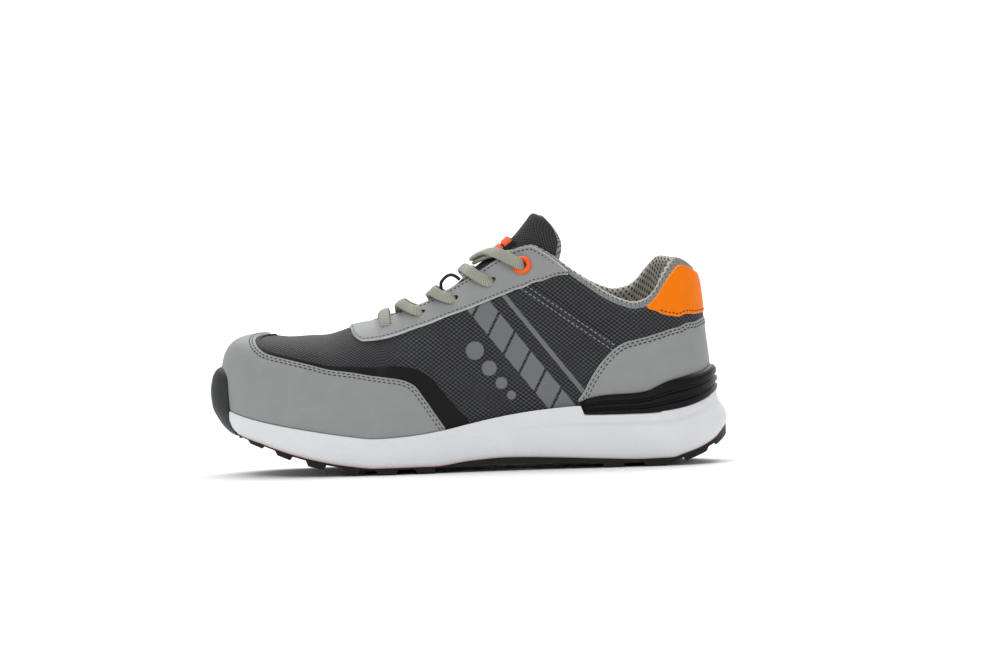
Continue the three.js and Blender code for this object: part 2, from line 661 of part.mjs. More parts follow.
// Closes a ring of ribs with a ladder from its lateral to its medial side.
function ladder(skin, ring, up) {
  const count = ring.length;
  for (let i = 0; i < count / 2; i++) {
    const [a, b] = [ring[i], ring[i + 1]];
    const [c, d] = [ring[(count - i - 1) % count], ring[(count - i) % count]];
    if (up) skin.quad(a, b, c, d);
    else skin.quad(d, c, b, a);
  }
}

const wallDepth = (u, v) => -wall - collarPad * padding(u, v);

// How much a point of the outline belongs to the toe, the heel and the two stretches between.
function standOut(row, u) {
  const step = 0.002;
  const along = footPoint(wrap(u + step)).sub(footPoint(wrap(u - step))).normalize();
  const toe = Math.max(along.y, 0) ** 2;
  const heel = Math.max(-along.y, 0) ** 2;
  const side = THREE.MathUtils.lerp(row.fore, row.rear, smooth(0.5, 0.7, ribAt(u)));
  return soleReach * (row.toe * toe + row.heel * heel + side * (1 - toe - heel));
}

// A ring round the sole: its height may follow its own place and that of the last beside it.
function soleRing(row, height, grow = 0) {
  return ribs.map((u) => {
    const p = footPoint(u, standOut(row, u) + grow);
    return new THREE.Vector3(p.x, p.y, height(p.x, footPoint(u).x));
  });
}

// Midsole without its pockets, grown on every side for cutting its neighbours.
function midsoleForm(grow) {
  const skin = new Skin();
  const rings = MIDSOLE_SIDE.map((row) =>
    soleRing(
      row,
      (x, beside) => {
        const height = THREE.MathUtils.lerp(soleHeight(x), rimHeight(beside), row.level);
        return height + grow * (2 * row.level - 1);
      },
      grow,
    ),
  );
  for (let k = 0; k < rings.length - 1; k++) skin.strip(rings[k], rings[k + 1]);
  ladder(skin, rings[rings.length - 1], true);
  ladder(skin, rings[0], false);
  return skin.solid();
}

// Share of a rib at which the upper's face reaches a height.
function upAt(u, height) {
  let low = 0;
  let high = 0.8;
  for (let i = 0; i < 24; i++) {
    const middle = (low + high) / 2;
    if (upperPoint(u, middle).z < height) low = middle;
    else high = middle;
  }
  return low;
}

// Share of a rib after climbing it by a length.
function climb(u, v, length) {
  const step = 0.01;
  const speed = upperPoint(u, v).distanceTo(upperPoint(u, v - step)) / step;
  return v + length / speed;
}

// Closes two grids of points, one over the other, into a shell.
function shell(inner, outer) {
  const skin = new Skin();
  const last = outer.length - 1;
  const top = outer[0].length - 1;
  for (let i = 0; i < last; i++) {
    for (let k = 0; k < top; k++) {
      skin.quad(outer[i][k], outer[i + 1][k], outer[i + 1][k + 1], outer[i][k + 1]);
      skin.quad(inner[i][k], inner[i][k + 1], inner[i + 1][k + 1], inner[i + 1][k]);
    }
    skin.quad(inner[i][0], inner[i + 1][0], outer[i + 1][0], outer[i][0]);
    skin.quad(outer[i][top], outer[i + 1][top], inner[i + 1][top], inner[i][top]);
  }
  for (let k = 0; k < top; k++) {
    skin.quad(outer[0][k], outer[0][k + 1], inner[0][k + 1], inner[0][k]);
    skin.quad(outer[last][k + 1], outer[last][k], inner[last][k], inner[last][k + 1]);
  }
  return skin.solid();
}

const ribOf = (at) => Math.acos(1 - 2 * at) / Math.PI;

// The upper's ribs between two places on the way round, with those places and any extra ones.
function between(from, to, extra = []) {
  const nearest = 0.004;
  const round = [...ribs, ...ribs.map((u) => u - 2), ...extra];
  const kept = round.filter((u) => u < from - nearest && u > to + nearest);
  return [from, ...kept.sort((a, b) => b - a), to];
}

// A panel laid on the upper, with an edge below and an edge above. It shares the upper's rows.
function panel(stations, low, high, outer) {
  const rows = [...span(0, 1, rowCount), 1 + 1 / rowCount];
  const face = (offset) =>
    stations.map((station) => {
      const u = wrap(station);
      const place = (v) => offsetPoint(u, THREE.MathUtils.clamp(v, low(u), high(u)), offset);
      return rows.map(place);
    });
  return shell(face(clearance), face(outer));
}

const overlayFace = clearance + overlay;
const rimShare = (u) => {
  const x = footPoint(u).x;
  return upAt(u, rimHeight(x) + clearance);
};
const clipLow = (u) => footPlane(footPoint(u).x) + clipHeight * follow(CLIP, 'low', ribAt(u));
const clipHigh = (u) => footPlane(footPoint(u).x) + clipHeight * follow(CLIP, 'high', ribAt(u));

const toePanelEnd = ribOf(TOE_PANEL[TOE_PANEL.length - 1].at);
const toePanelTop = (u) => follow(TOE_PANEL, 'high', ribAt(u));
const toePanelStations = between(
  toePanelEnd,
  -toePanelEnd,
  [0.395, 0.42, 0.44].flatMap((at) => [ribOf(at), -ribOf(at)]),
);

function makeToePanel() {
  return panel(toePanelStations, rimShare, toePanelTop, overlayFace);
}

function makeToeTrim() {
  const end = ribOf(TOE_TRIM[TOE_TRIM.length - 1].at);
  const low = (u) => {
    const seam = Math.abs(u) <= toePanelEnd ? climb(u, toePanelTop(u), clearance) : 0;
    return Math.max(seam, rimShare(u));
  };
  const high = (u) => follow(TOE_TRIM, 'high', ribAt(u));
  const past = ribOf(0.466); // the seam ends here
  const stations = between(end, -end, [...toePanelStations, past, -past]);
  return panel(stations, low, high, clearance + trimFilm);
}

// The upper's wall with the clearance that its neighbours keep.
function grownWall() {
  return upperWall(
    () => clearance,
    (u, v) => wallDepth(u, v) - clearance,
  );
}

// Both sides of the eyestay, joined over the vamp in front of the throat.
function makeEyestay() {
  const from = ribOf(EYESTAY[0].at);
  const to = ribOf(EYESTAY[EYESTAY.length - 1].at);
  const nose = [0.2645, 0.268, 0.273, 0.279];
  const over = 0.02;
  const low = (u) => follow(EYESTAY, 'low', ribAt(u));
  const high = (u) => (isClosedOver(u) ? 1 + over : 1);
  const medial = between(to, from, nose.map(ribOf));
  const lateral = medial.map((u) => -u).reverse();
  const sides = [medial, lateral].map((side) => panel(side, low, high, overlayFace));
  return sides[0].add(sides[1]).subtract(laceHoles());
}

function makeCounter() {
  const start = ribOf(COUNTER[0].at);
  const front = [0.739, 0.753, 0.77].flatMap((at) => [-ribOf(at), ribOf(at) - 2]);
  const low = (u) => {
    const x = footPoint(u).x;
    return upAt(u, Math.max(rimHeight(x), clipHigh(u)) + clearance);
  };
  const high = (u) => follow(COUNTER, 'high', ribAt(u));
  return panel(between(-start, start - 2, front), low, high, overlayFace);
}

function makeHeelTab() {
  const start = ribOf(HEEL_TAB[0].at);
  const low = (u) => follow(HEEL_TAB, 'low', ribAt(u));
  const high = (u) => follow(HEEL_TAB, 'high', ribAt(u));
  return panel(between(-start, start - 2), low, high, overlayFace);
}

// A ring round the heel between heights, standing out from the upper's face.
function heelBand(start, levels, low, high, inner, outer) {
  const point = (u, z, out) => {
    const face = upperPoint(u, upAt(u, z));
    const foot = footPoint(u);
    const away = footPoint(u, 1).sub(foot);
    return new THREE.Vector3(face.x + away.x * out, face.y + away.y * out, z);
  };
  const from = ribOf(start);
  const grid = (out, rows) =>
    between(-from, from - 2).map((station) => {
      const u = wrap(station);
      return rows.map((level) =>
        point(u, THREE.MathUtils.lerp(low(u), high(u), level), out(u, level)),
      );
    });
  const halves = levels.map((level) => Math.round(2 * level) / 2);
  return shell(grid(inner, halves), grid(outer, levels));
}

function makeHeelClip() {
  const proud = (u, level) =>
    clipProud * follow(CLIP, 'proud', ribAt(u)) * follow(CLIP_FACE, 'out', level, 'level');
  const levels = CLIP_FACE.map((row) => row.level);
  return heelBand(CLIP[0].at, levels, clipLow, clipHigh, () => clearance, proud);
}

function clipPocket() {
  const start = CLIP[0].at - clearance / lastLength;
  const low = (u) => clipLow(u) - clearance;
  const high = (u) => clipHigh(u) + lipHeight;
  const outside = () => heelReach + clipProud;
  return heelBand(start, [0, 1], low, high, () => -wall, outside);
}

function makeMidsole() {
  return mainPiece(midsoleForm(0).subtract(upperForm(clearance, 2)).subtract(clipPocket()));
}

// Treads are cut from a plate of the sole's outline by grooves across it and one along it.
function grooveForm({ from, to, slices }) {
  const at = (share) => (share - 0.5) * shoeLength;
  const grid = (columns, height) =>
    [-ballWidth, ballWidth].map((y) => columns.map((x) => new THREE.Vector3(x, y, height(x))));
  const web = grid(span(at(from), at(to), slices), webHeight);
  const floor = grid(span(at(from) - lugDraft, at(to) + lugDraft, slices), () => -lugDepth);
  return shell(web, floor);
}

function centreGrooveForm({ from, to, slices }) {
  const half = centreGroove / 2;
  const columns = span(from, to, slices).map((at) => (at - 0.5) * shoeLength);
  const grid = (width, height) =>
    [-width, width].map((side) =>
      columns.map((x) => new THREE.Vector3(x, centreY(lastAt(x)) + side, height(x))),
    );
  return shell(grid(half, webHeight), grid(half + lugDraft, () => -lugDepth));
}

function bumperForm() {
  const stations = span(bumperHalf, -bumperHalf, bumperColumns);
  const end = (u) => Math.abs(u / bumperHalf);
  const grid = (out) =>
    stations.map((u) =>
      BUMPER_FACE.map((row) => {
        const p = footPoint(u, out(row, u));
        const top = bumperTop - bumperDrop * end(u) ** 3;
        return new THREE.Vector3(p.x, p.y, THREE.MathUtils.lerp(toeSpring, top, row.rise));
      }),
    );
  const fade = (u) => 1 - bumperThinning * end(u) ** 3;
  const front = (row, u) => row.reach * toeReach * (row.reach > 0 ? fade(u) : 1);
  const back = () => -bumperRoot;
  return shell(grid(back), grid(front));
}

function makeOutsole() {
  const skin = new Skin();
  const edge = MIDSOLE_SIDE[0];
  const top = soleRing(edge, (x) => soleHeight(x) - clearance);
  const bottom = soleRing(edge, treadHeight);
  skin.strip(bottom, top);
  ladder(skin, top, true);
  ladder(skin, bottom, false);
  let plate = skin.solid();
  for (const groove of GROOVES) plate = plate.subtract(grooveForm(groove));
  for (const groove of CENTRE_GROOVES) plate = plate.subtract(centreGrooveForm(groove));
  const bumper = bumperForm()
    .subtract(upperForm(overlayFace + clearance, 6))
    .subtract(midsoleForm(clearance));
  return mainPiece(plate.add(bumper));
}

function makeInsole() {
  const skin = new Skin();
  const ring = (lift) =>
    ribs.map((u) => {
      const p = footPoint(u, -wall - clearance);
      return new THREE.Vector3(p.x, p.y, footPlane(p.x) + lift);
    });
  const low = ring(clearance);
  const high = ring(insoleThickness);
  skin.strip(low, high);
  ladder(skin, high, true);
  ladder(skin, low, false);
  return skin.solid();
}

// A point of the tongue: t runs up it, s from its lateral (-1) to its medial edge (1).
function tonguePoint(t, s, lift = 0) {
  const row = (column) => follow(TONGUE, column, t, 't');
  const crest = new THREE.Vector3(lastX(row('crest')), 0, tongueHeight * row('top'));
  const edge = new THREE.Vector3(lastX(row('edge')), 0, tongueHeight * row('edgeTop'));
  const point = crest.clone().lerp(edge, Math.abs(s) ** tongueRoundness);
  point.y = centreY(row('crest')) + s * ballWidth * row('half');
  return point.addScaledVector(tongueUp(t), lift);
}

// Direction out of the tongue at its crest.
function tongueUp(t) {
  const step = 0.02;
  const place = (k) =>
    new THREE.Vector3(
      lastX(follow(TONGUE, 'crest', k, 't')),
      0,
      tongueHeight * follow(TONGUE, 'top', k, 't'),
    );
  const along = place(Math.min(t + step, 1)).sub(place(Math.max(t - step, 0))).normalize();
  return new THREE.Vector3(-along.z, 0, along.x);
}

function tongueShell([from, to, steps], [half, columns], inner, outer) {
  const grid = (lift) =>
    span(from, to, steps).map((t) =>
      span(-half, half, columns).map((s) => tonguePoint(t, s, lift(t, s))),
    );
  return shell(grid(inner), grid(outer));
}

function tongueForm(grow) {
  const thinning = (s) => 1 - tongueThinning * Math.abs(s) ** 3;
  const pad = (t, s) => -tonguePadding * follow(TONGUE, 'pad', t, 't') * thinning(s);
  return tongueShell([0, 1, tongueRows], [1, tongueColumns], pad, () => grow);
}

function makeTongue() {
  return mainPiece(tongueForm(0).subtract(grownWall()));
}

function labelForm(grow) {
  const under = () => labelSeat;
  const face = () => labelSeat + labelThickness + grow;
  return tongueShell([labelFrom, labelTo, 3], [labelHalf, 4], under, face);
}

// A frame on the upper's face: its place, its outward normal and the way along the ribs.
function frameAt(u, v, offset) {
  const normal = upperNormal(u, v);
  const place = offsetPoint(u, v, offset);
  const step = 0.003;
  const along = upperPoint(u + step, v).sub(upperPoint(u - step, v)).normalize();
  const across = new THREE.Vector3().crossVectors(along, normal).normalize();
  return new THREE.Matrix4().makeBasis(along, normal, across).setPosition(place);
}

function laceHoles() {
  const sides = [-1, 1];
  const cutters = sides.flatMap((side) =>
    LACE_HOLES.map(({ at, up }, i) => {
      const isTop = i === LACE_HOLES.length - 1;
      const hole = new THREE.CylinderGeometry(0.5, 0.5, holeReach, holeSides);
      const long = isTop ? eyeletBore : laceHoleLong;
      const wide = isTop ? eyeletBore : laceHoleWide;
      hole.scale(long, 1, wide);
      hole.applyMatrix4(frameAt(side * ribOf(at), up, 0));
      return solidFrom(hole);
    }),
  );
  return cutters.reduce((all, one) => all.add(one));
}

function makeUpper() {
  return upperWall(() => 0, wallDepth).subtract(laceHoles());
}

// Section of the eyelet from its bore (0) to its rim (1).
const EYELET_SECTION = [
  { out: 0, rise: 0 },
  { out: 1, rise: 0 },
  { out: 1, rise: 0.5 },
  { out: 0.5, rise: 1 },
  { out: 0, rise: 0.6 },
  { out: 0, rise: 0 },
];

function makeEyelet(side) {
  const { at, up } = LACE_HOLES[LACE_HOLES.length - 1];
  const profile = EYELET_SECTION.map((row) => {
    const across = THREE.MathUtils.lerp(eyeletBore, eyeletWidth, row.out);
    return new THREE.Vector2(across / 2, row.rise * eyeletRise);
  });
  const ring = new THREE.LatheGeometry(profile, eyeletSides);
  ring.applyMatrix4(frameAt(side * ribOf(at), up, overlayFace + eyeletSeat));
  return solidFrom(ring);
}

// Corners of a strap's section as shares of its width and thickness.
const STRAP_SECTION = [
  { across: -0.5, up: 0 },
  { across: -0.36, up: -0.5 },
  { across: 0.36, up: -0.5 },
  { across: 0.5, up: 0 },
  { across: 0.36, up: 0.5 },
  { across: -0.36, up: 0.5 },
];

// A flat strap swept through places, each with the direction that its face turns to.
function strap(places, width, thickness) {
  const path = new THREE.CatmullRomCurve3(places.map(({ at }) => at));
  const steps = 2 * (places.length - 1);
  const rings = span(0, 1, steps).map((t) => {
    const scaled = t * (places.length - 1);
    const i = Math.min(Math.floor(scaled), places.length - 2);
    const face = places[i].face.clone().lerp(places[i + 1].face, scaled - i);
    const along = path.getTangent(t);
    const side = new THREE.Vector3().crossVectors(face, along).normalize();
    const up = new THREE.Vector3().crossVectors(along, side).normalize();
    const centre = path.getPoint(t);
    return STRAP_SECTION.map((corner) =>
      centre
        .clone()
        .addScaledVector(side, corner.across * width)
        .addScaledVector(up, corner.up * thickness),
    );
  });
  const skin = new Skin();
  for (let i = 0; i < steps; i++) skin.strip(rings[i], rings[i + 1]);
  for (let k = 1; k < STRAP_SECTION.length - 1; k++) {
    skin.triangle(rings[0][0], rings[0][k + 1], rings[0][k]);
    skin.triangle(rings[steps][0], rings[steps][k], rings[steps][k + 1]);
  }
  return skin.solid();
}

// Where the tongue's crest is as high up the shoe as a lace crosses it.
function crestAt(x) {
  let low = 0;
  let high = 1;
  for (let i = 0; i < 24; i++) {
    const middle = (low + high) / 2;
    if (tonguePoint(middle, 0).x < x) low = middle;
    else high = middle;
  }
  return low;
}

const laceLift = laceThickness / 2 + clearance;

// A place over the tongue at a share of the last, a distance to one side of its crest.
function overTongue(at, across, lift) {
  const t = crestAt(lastX(at));
  const half = ballWidth * follow(TONGUE, 'half', t, 't');
  return { at: tonguePoint(t, across / half, lift), face: tongueUp(t) };
}

// One pass of the lace: out of a hole on one side, over the edge of the eyestay, across the
// tongue and down towards the other side of the throat, one hole further forward.
function lacePass(side, { from, edge, middle, raise, hump }) {
  const near = LACE_HOLES[from];
  const far = LACE_HOLES[from - 1];
  const seat = from === LACE_HOLES.length - 1 ? eyeletSeat + eyeletRise : 0;
  const spot = (at, up, offset, lift = 0) => {
    const u = side * ribOf(at);
    const place = offsetPoint(u, up, overlayFace + laceLift + offset);
    place.z += lift;
    return { at: place, face: upperNormal(u, up) };
  };
  const farAt = far.at + laceBehind;
  const throat = halfWidth(farAt) * follow(TOP_LINE, 'gap', farAt);
  const over = (at, across, lift) => overTongue(at, across, laceLift + lift);
  return [
    spot(near.at, near.up, seat),
    spot(near.at - edge / 2, (near.up + 1) / 2, seat / 2 + laceSlack),
    spot(near.at - edge, throatEdge, laceSlack, 2 * laceSlack),
    over((near.at - edge + middle) / 2, (side * throat) / 2, raise + hump),
    over(middle, 0, raise + laceSlack / 2),
    over((farAt + middle) / 2, (-side * throat) / 2, laceSlack),
    over(farAt, -side * (throat - laceStop), laceSlack / 2),
  ];
}

// Passes over the throat, from the toe upwards: where each goes over the eyestay's edge and
// where it crosses the middle of the tongue.
const LACE_PASSES = [
  { from: 1, edge: 0.016, middle: 0.374, hump: 0.8 },
  { from: 2, edge: 0.016, middle: 0.438, hump: 0.8 },
  { from: 3, edge: 0.018, middle: 0.508, hump: 0.8 },
  { from: 4, edge: 0.045, middle: 0.532, hump: 2.2 },
];

function makeLaceCross(pass) {
  const over = strap(lacePass(-1, { ...pass, raise: laceThickness }), laceWidth, laceThickness);
  const under = strap(lacePass(1, { ...pass, raise: 0 }), laceWidth, laceThickness);
  const neighbours = tongueForm(clearance).add(labelForm(clearance)).add(grownWall());
  return mainPiece(over.add(under).subtract(neighbours));
}

function makeLaceBar() {
  const { at, up } = LACE_HOLES[0];
  const spot = (side, share, offset) => {
    const u = side * ribOf(at);
    return { at: offsetPoint(u, share, overlayFace + offset), face: upperNormal(u, share) };
  };
  const places = [
    spot(-1, up, laceLift),
    spot(-1, throatEdge, laceLift + laceSlack),
    overTongue(at, 0, laceLift + 2 * laceThickness),
    spot(1, throatEdge, laceLift + laceSlack),
    spot(1, up, laceLift),
  ];
  return strap(places, laceWidth, laceThickness);
}

// Webbing loop that stands on the tongue to keep the lace in place.
function makeLaceKeeper() {
  const foot = (at, lift) => overTongue(at, 0, lift);
  const start = foot(keeperFrom, keeperThickness / 2 + clearance);
  const end = foot(keeperTo, keeperThickness / 2 + clearance);
  const top = foot(keeperFrom + keeperShoulder, keeperRise);
  const bend = foot(keeperTo - keeperShoulder, keeperRise);
  start.face = new THREE.Vector3(-1, 0, 0);
  end.face = new THREE.Vector3(1, 0, 0);
  return strap([start, top, bend, end], keeperWidth, keeperThickness);
}

const shoe = new THREE.Group();

function addPiece(name, solid, color, roughness) {
  const material = new THREE.MeshStandardMaterial({ color, roughness, metalness: 0 });
  const mesh = new THREE.Mesh(geometryFrom(solid), material);
  mesh.name = name;
  shoe.add(mesh);
}

const grey = '#8b8e8e';
const black = '#151516';
const orange = '#f08200';
const lace = '#98988a';

addPiece('outsole', makeOutsole(), '#17181a', 0.6);
addPiece('midsole', makeMidsole(), '#dcdde0', 0.55);
addPiece('heel_clip', makeHeelClip(), black, 0.4);
addPiece('insole', makeInsole(), '#55565a', 0.9);
addPiece('upper', makeUpper(), '#3a3b3f', 0.8);
addPiece('toe_panel', makeToePanel(), grey, 0.55);
addPiece('toe_trim', makeToeTrim(), black, 0.5);
addPiece('eyestay', makeEyestay(), grey, 0.55);
addPiece('heel_counter', makeCounter(), grey, 0.55);
addPiece('heel_tab', makeHeelTab(), orange, 0.55);
addPiece('tongue', makeTongue(), '#333235', 0.85);
addPiece('tongue_label', labelForm(0), black, 0.5);
addPiece('eyelet_lateral', makeEyelet(-1), orange, 0.45);
addPiece('eyelet_medial', makeEyelet(1), orange, 0.45);
addPiece('lace_keeper', makeLaceKeeper(), black, 0.7);
addPiece('lace_bar', makeLaceBar(), lace, 0.85);
for (let i = 1; i <= LACE_PASSES.length; i++) {
  addPiece(`lace_cross_${i}`, makeLaceCross(LACE_PASSES[i - 1]), lace, 0.85);
}

export default shoe;
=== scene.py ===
"""Looks of the safety trainer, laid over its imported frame.

Forms are worked out in millimetres from the same sizes and tables as the frame, and turned
into metres when a mesh is made. u runs round the last (0 toe, 1 or -1 heel, lateral side
negative) and v up each rib (0 foot plane, 1 top line).
"""

import math

import bmesh
import bpy
import numpy as np
from mathutils import Matrix, Vector


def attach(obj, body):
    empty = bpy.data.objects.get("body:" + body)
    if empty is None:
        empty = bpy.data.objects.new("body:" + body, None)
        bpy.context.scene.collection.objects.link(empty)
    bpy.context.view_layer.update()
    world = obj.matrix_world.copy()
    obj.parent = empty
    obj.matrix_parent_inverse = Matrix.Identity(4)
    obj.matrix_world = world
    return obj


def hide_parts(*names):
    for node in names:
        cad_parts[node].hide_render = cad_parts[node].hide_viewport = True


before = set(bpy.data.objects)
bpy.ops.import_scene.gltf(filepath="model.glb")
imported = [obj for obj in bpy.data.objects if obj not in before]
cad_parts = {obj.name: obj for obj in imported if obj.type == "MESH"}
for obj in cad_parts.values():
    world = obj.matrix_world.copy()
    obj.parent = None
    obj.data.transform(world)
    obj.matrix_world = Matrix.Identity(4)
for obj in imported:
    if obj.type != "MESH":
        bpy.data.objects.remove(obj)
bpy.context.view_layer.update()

SHOE_LENGTH = 300.0
TOE_REACH, HEEL_REACH = 9.5, 11.5
BALL_WIDTH, SEAT_WIDTH = 94.4, 66.6
TOE_ROUND, HEEL_ROUND = 50.0, 33.0
TOE_SQUARENESS, HEEL_SQUARENESS = 2.4, 2.05
TOE_HEIGHT, INSTEP_HEIGHT, ANKLE_HEIGHT, HEEL_HEIGHT = 80.4, 128.0, 91.5, 116.5
MEDIAL_RISE, MEDIAL_LEAD = 6.5, 0.04
TOE_SPRING, HEEL_KICK = 22.0, 16.0
FORE_STACK, HEEL_STACK = 15.0, 30.0
CLEARANCE, WALL = 0.3, 2.0
COLLAR_PAD, COLLAR_PUFF, SIDE_FLARE = 4.5, 1.6, 5.0
PAD_START, PAD_FULL, PAD_BOTTOM, PAD_BODY = 0.62, 0.78, 0.5, 0.85
OVERLAY, TRIM_FACE, LIP_HEIGHT, OUTSOLE_THICKNESS = 1.4, 0.75, 6.0, 5.0
LUG_DEPTH, LUG_DRAFT, CENTRE_GROOVE = 3.0, 1.3, 5.0
BUMPER_TOP, BUMPER_HALF, BUMPER_DROP, BUMPER_THINNING = 62.7, 0.081, 5.0, 0.6
CLIP_HEIGHT, CLIP_PROUD = 12.0, 5.2
TONGUE_HEIGHT, TONGUE_PADDING = 147.5, 8.0
TONGUE_ROUNDNESS, TONGUE_THINNING, TONGUE_RIM = 2.1, 0.65, 0.955
LACE_WIDTH, LACE_THICKNESS = 6.4, 2.6
LACE_SLACK, LACE_STOP, LACE_BEHIND, THROAT_EDGE = 1.2, 3.6, 0.032, 0.985
LACE_HOLE_LONG, LACE_HOLE_WIDE = 7.4, 4.4
EYELET_BORE, EYELET_WIDTH, EYELET_RISE, EYELET_SEAT = 4.8, 10.8, 2.0, 0.7

HEEL_X = SHOE_LENGTH / 2 - HEEL_REACH
TOE_X = TOE_REACH - SHOE_LENGTH / 2
LAST_LENGTH = HEEL_X - TOE_X
OVERLAY_FACE = CLEARANCE + OVERLAY


class Table:
    """Smooth curves through named columns, with no overshoot between rows."""

    def __init__(self, names, rows):
        self.names = names.split()
        self.columns = dict(zip(self.names, np.array(rows, float).T))
        self.start, self.end = rows[0][0], rows[-1][0]
        self.slopes = {}

    def total(self, at, **sizes):
        """Sum of sizes, each times the column of its name."""
        return sum(size * self(name, at) for name, size in sizes.items())

    def __call__(self, name, at):
        x, y = self.columns[self.names[0]], self.columns[name]
        if name not in self.slopes:
            h = np.diff(x)
            d = np.diff(y) / h
            m = np.zeros(len(x))
            m[0], m[-1] = d[0], d[-1]
            for k in range(1, len(x) - 1):
                if d[k - 1] * d[k] > 0:
                    near, far = 2 * h[k] + h[k - 1], h[k] + 2 * h[k - 1]
                    m[k] = (near + far) / (near / d[k - 1] + far / d[k])
            self.slopes[name] = m
        m = self.slopes[name]
        at = np.asarray(at, float)
        i = np.clip(np.searchsorted(x, at, side="left") - 1, 0, len(x) - 2)
        h = x[i + 1] - x[i]
        t = np.clip((at - x[i]) / h, 0, 1)
        s = 1 - t
        return (
            y[i] * s * s * (1 + 2 * t)
            + y[i + 1] * t * t * (3 - 2 * t)
            + (m[i] * s - m[i + 1] * t) * s * t * h
        )


PLAN = Table("at ball seat centre", [
    (0, 0.445, 0, 0.07), (0.12, 0.487, 0, 0.026), (0.23, 0.5, 0, 0.005),
    (0.31, 0.493, 0, -0.013), (0.38, 0.4, 0.087, -0.027), (0.48, 0.25, 0.2, -0.044),
    (0.58, 0.1, 0.343, -0.049), (0.68, 0, 0.473, -0.034), (0.8, 0, 0.493, -0.013),
    (0.9, 0, 0.5, 0), (1, 0, 0.5, 0),
])
FOOT_PLANE = Table("at fore heel spring rim", [
    (0, 1, 0, 0.86, 1), (0.035, 1, 0, 0.68, 1), (0.085, 1, 0, 0.5, 1),
    (0.13, 1, 0, 0.37, 1), (0.19, 1, 0, 0.22, 1), (0.25, 1, 0, 0.09, 1),
    (0.31, 1, 0, 0, 1), (0.375, 0.9, 0.08, 0, 1), (0.44, 0.7, 0.26, 0, 1),
    (0.5, 0.45, 0.5, 0, 1), (0.56, 0.25, 0.71, 0, 1), (0.63, 0.1, 0.88, 0, 1),
    (0.69, 0, 0.98, 0, 1), (0.73, 0, 1, 0, 1), (0.9, 0, 1, 0, 1.1),
    (0.96, 0, 1, 0, 1.6), (1, 0, 1, 0, 2.4),
])
TOP_LINE = Table("at lean gap toe instep ankle heel", [
    (0, 0.109, 0, 1, 0, 0, 0), (0.04, 0.082, 0, 0.993, 0, 0, 0),
    (0.1, 0.045, 0, 0.987, 0, 0, 0), (0.2, 0.0047, 0, 0.994, 0, 0, 0),
    (0.27, 0, 0, 0.92, 0.08, 0, 0), (0.314, 0, 0, 0.875, 0.125, 0, 0),
    (0.34, 0, 0.17, 0.83, 0.17, 0, 0), (0.38, 0, 0.22, 0.757, 0.243, 0, 0),
    (0.43, 0, 0.275, 0.645, 0.355, 0, 0), (0.47, 0, 0.32, 0.51, 0.49, 0, 0),
    (0.51, 0, 0.35, 0.378, 0.622, 0, 0), (0.55, 0, 0.39, 0.23, 0.77, 0, 0),
    (0.585, 0, 0.42, 0.11, 0.89, 0, 0), (0.615, 0, 0.45, 0.025, 0.975, 0, 0),
    (0.64, 0, 0.5, 0, 1, 0, 0), (0.665, 0, 0.585, 0, 0.91, 0.09, 0),
    (0.69, 0, 0.667, 0, 0.77, 0.23, 0), (0.72, 0, 0.755, 0, 0.568, 0.432, 0),
    (0.76, 0, 0.836, 0, 0.34, 0.66, 0), (0.79, 0, 0.887, 0, 0.18, 0.82, 0),
    (0.82, 0, 0.91, 0, 0.065, 0.935, 0), (0.85, 0, 0.91, 0, 0, 1, 0),
    (0.88, -0.004, 0.9, 0, 0, 0.92, 0.08), (0.9, -0.006, 0.89, 0, 0, 0.73, 0.27),
    (0.92, -0.01, 0.88, 0, 0, 0.44, 0.56), (0.94, -0.014, 0.87, 0, 0, 0.18, 0.82),
    (0.96, -0.0175, 0.86, 0, 0, 0, 1), (0.98, -0.0195, 0.855, 0, 0, 0, 0.985),
    (1, -0.0233, 0.85, 0, 0, 0, 0.953),
])
RIB_BOW = Table("at wall flare crown drop", [
    (0, 0.95, 1, 0.9, 0), (0.05, 0.93, 1, 0.85, 0), (0.12, 0.85, 1, 0.75, 0),
    (0.2, 0.72, 1, 0.62, 0), (0.314, 0.6, 1, 0.48, 0), (0.36, 0.55, 1, 0.42, 0.05),
    (0.43, 0.5, 0.9, 0.36, 0.1), (0.51, 0.45, 0.8, 0.32, 0.16),
    (0.6, 0.42, 0.7, 0.3, 0.22), (0.69, 0.4, 0.7, 0.3, 0.3), (0.8, 0.36, 0.7, 0.3, 0.32),
    (0.9, 0.34, 0.7, 0.3, 0.32), (1, 0.34, 0.5, 0.4, 0.34),
])
TREAD = Table("at spring kick build lug", [
    (0, 1.5, 0, 0.4, 0.4), (0.033, 1.18, 0, 0.46, 0.45), (0.057, 1, 0, 0.5, 0.5),
    (0.1, 0.77, 0, 0.62, 0.6), (0.153, 0.47, 0, 0.82, 0.85), (0.207, 0.23, 0, 0.96, 1),
    (0.273, 0.06, 0, 0.95, 1), (0.32, 0, 0, 0.92, 1), (0.43, 0, 0, 0.92, 1.1),
    (0.5, 0, 0, 1.42, 1.2), (0.57, 0, 0, 1.66, 1.25), (0.67, 0, 0, 1.46, 1.15),
    (0.75, 0, 0, 1.2, 0.85), (0.83, 0, 0, 1, 0.8), (0.885, 0, 0, 1.05, 0.8),
    (0.91, 0, 0.14, 1, 0.8), (0.945, 0, 0.38, 0.95, 0.7), (0.97, 0, 0.62, 1, 0.6),
    (0.987, 0, 0.85, 1.25, 0.5), (1, 0, 1.1, 1.4, 0.4),
])
MIDSOLE_SIDE = Table("level toe fore rear heel", [
    (0, -3, 3.6, 4.8, 10), (0.09, -0.7, 4.9, 6.1, 10.8), (0.32, 1.2, 5.5, 7, 10.1),
    (0.62, 2.4, 4.9, 6.7, 7), (0.645, 2.42, 4.85, 4.95, 6.7), (0.7, 2.5, 4.6, 4.6, 6),
    (0.88, 2.6, 4.2, 4.4, 5), (1, 2, 3.3, 3.7, 4.2),
])
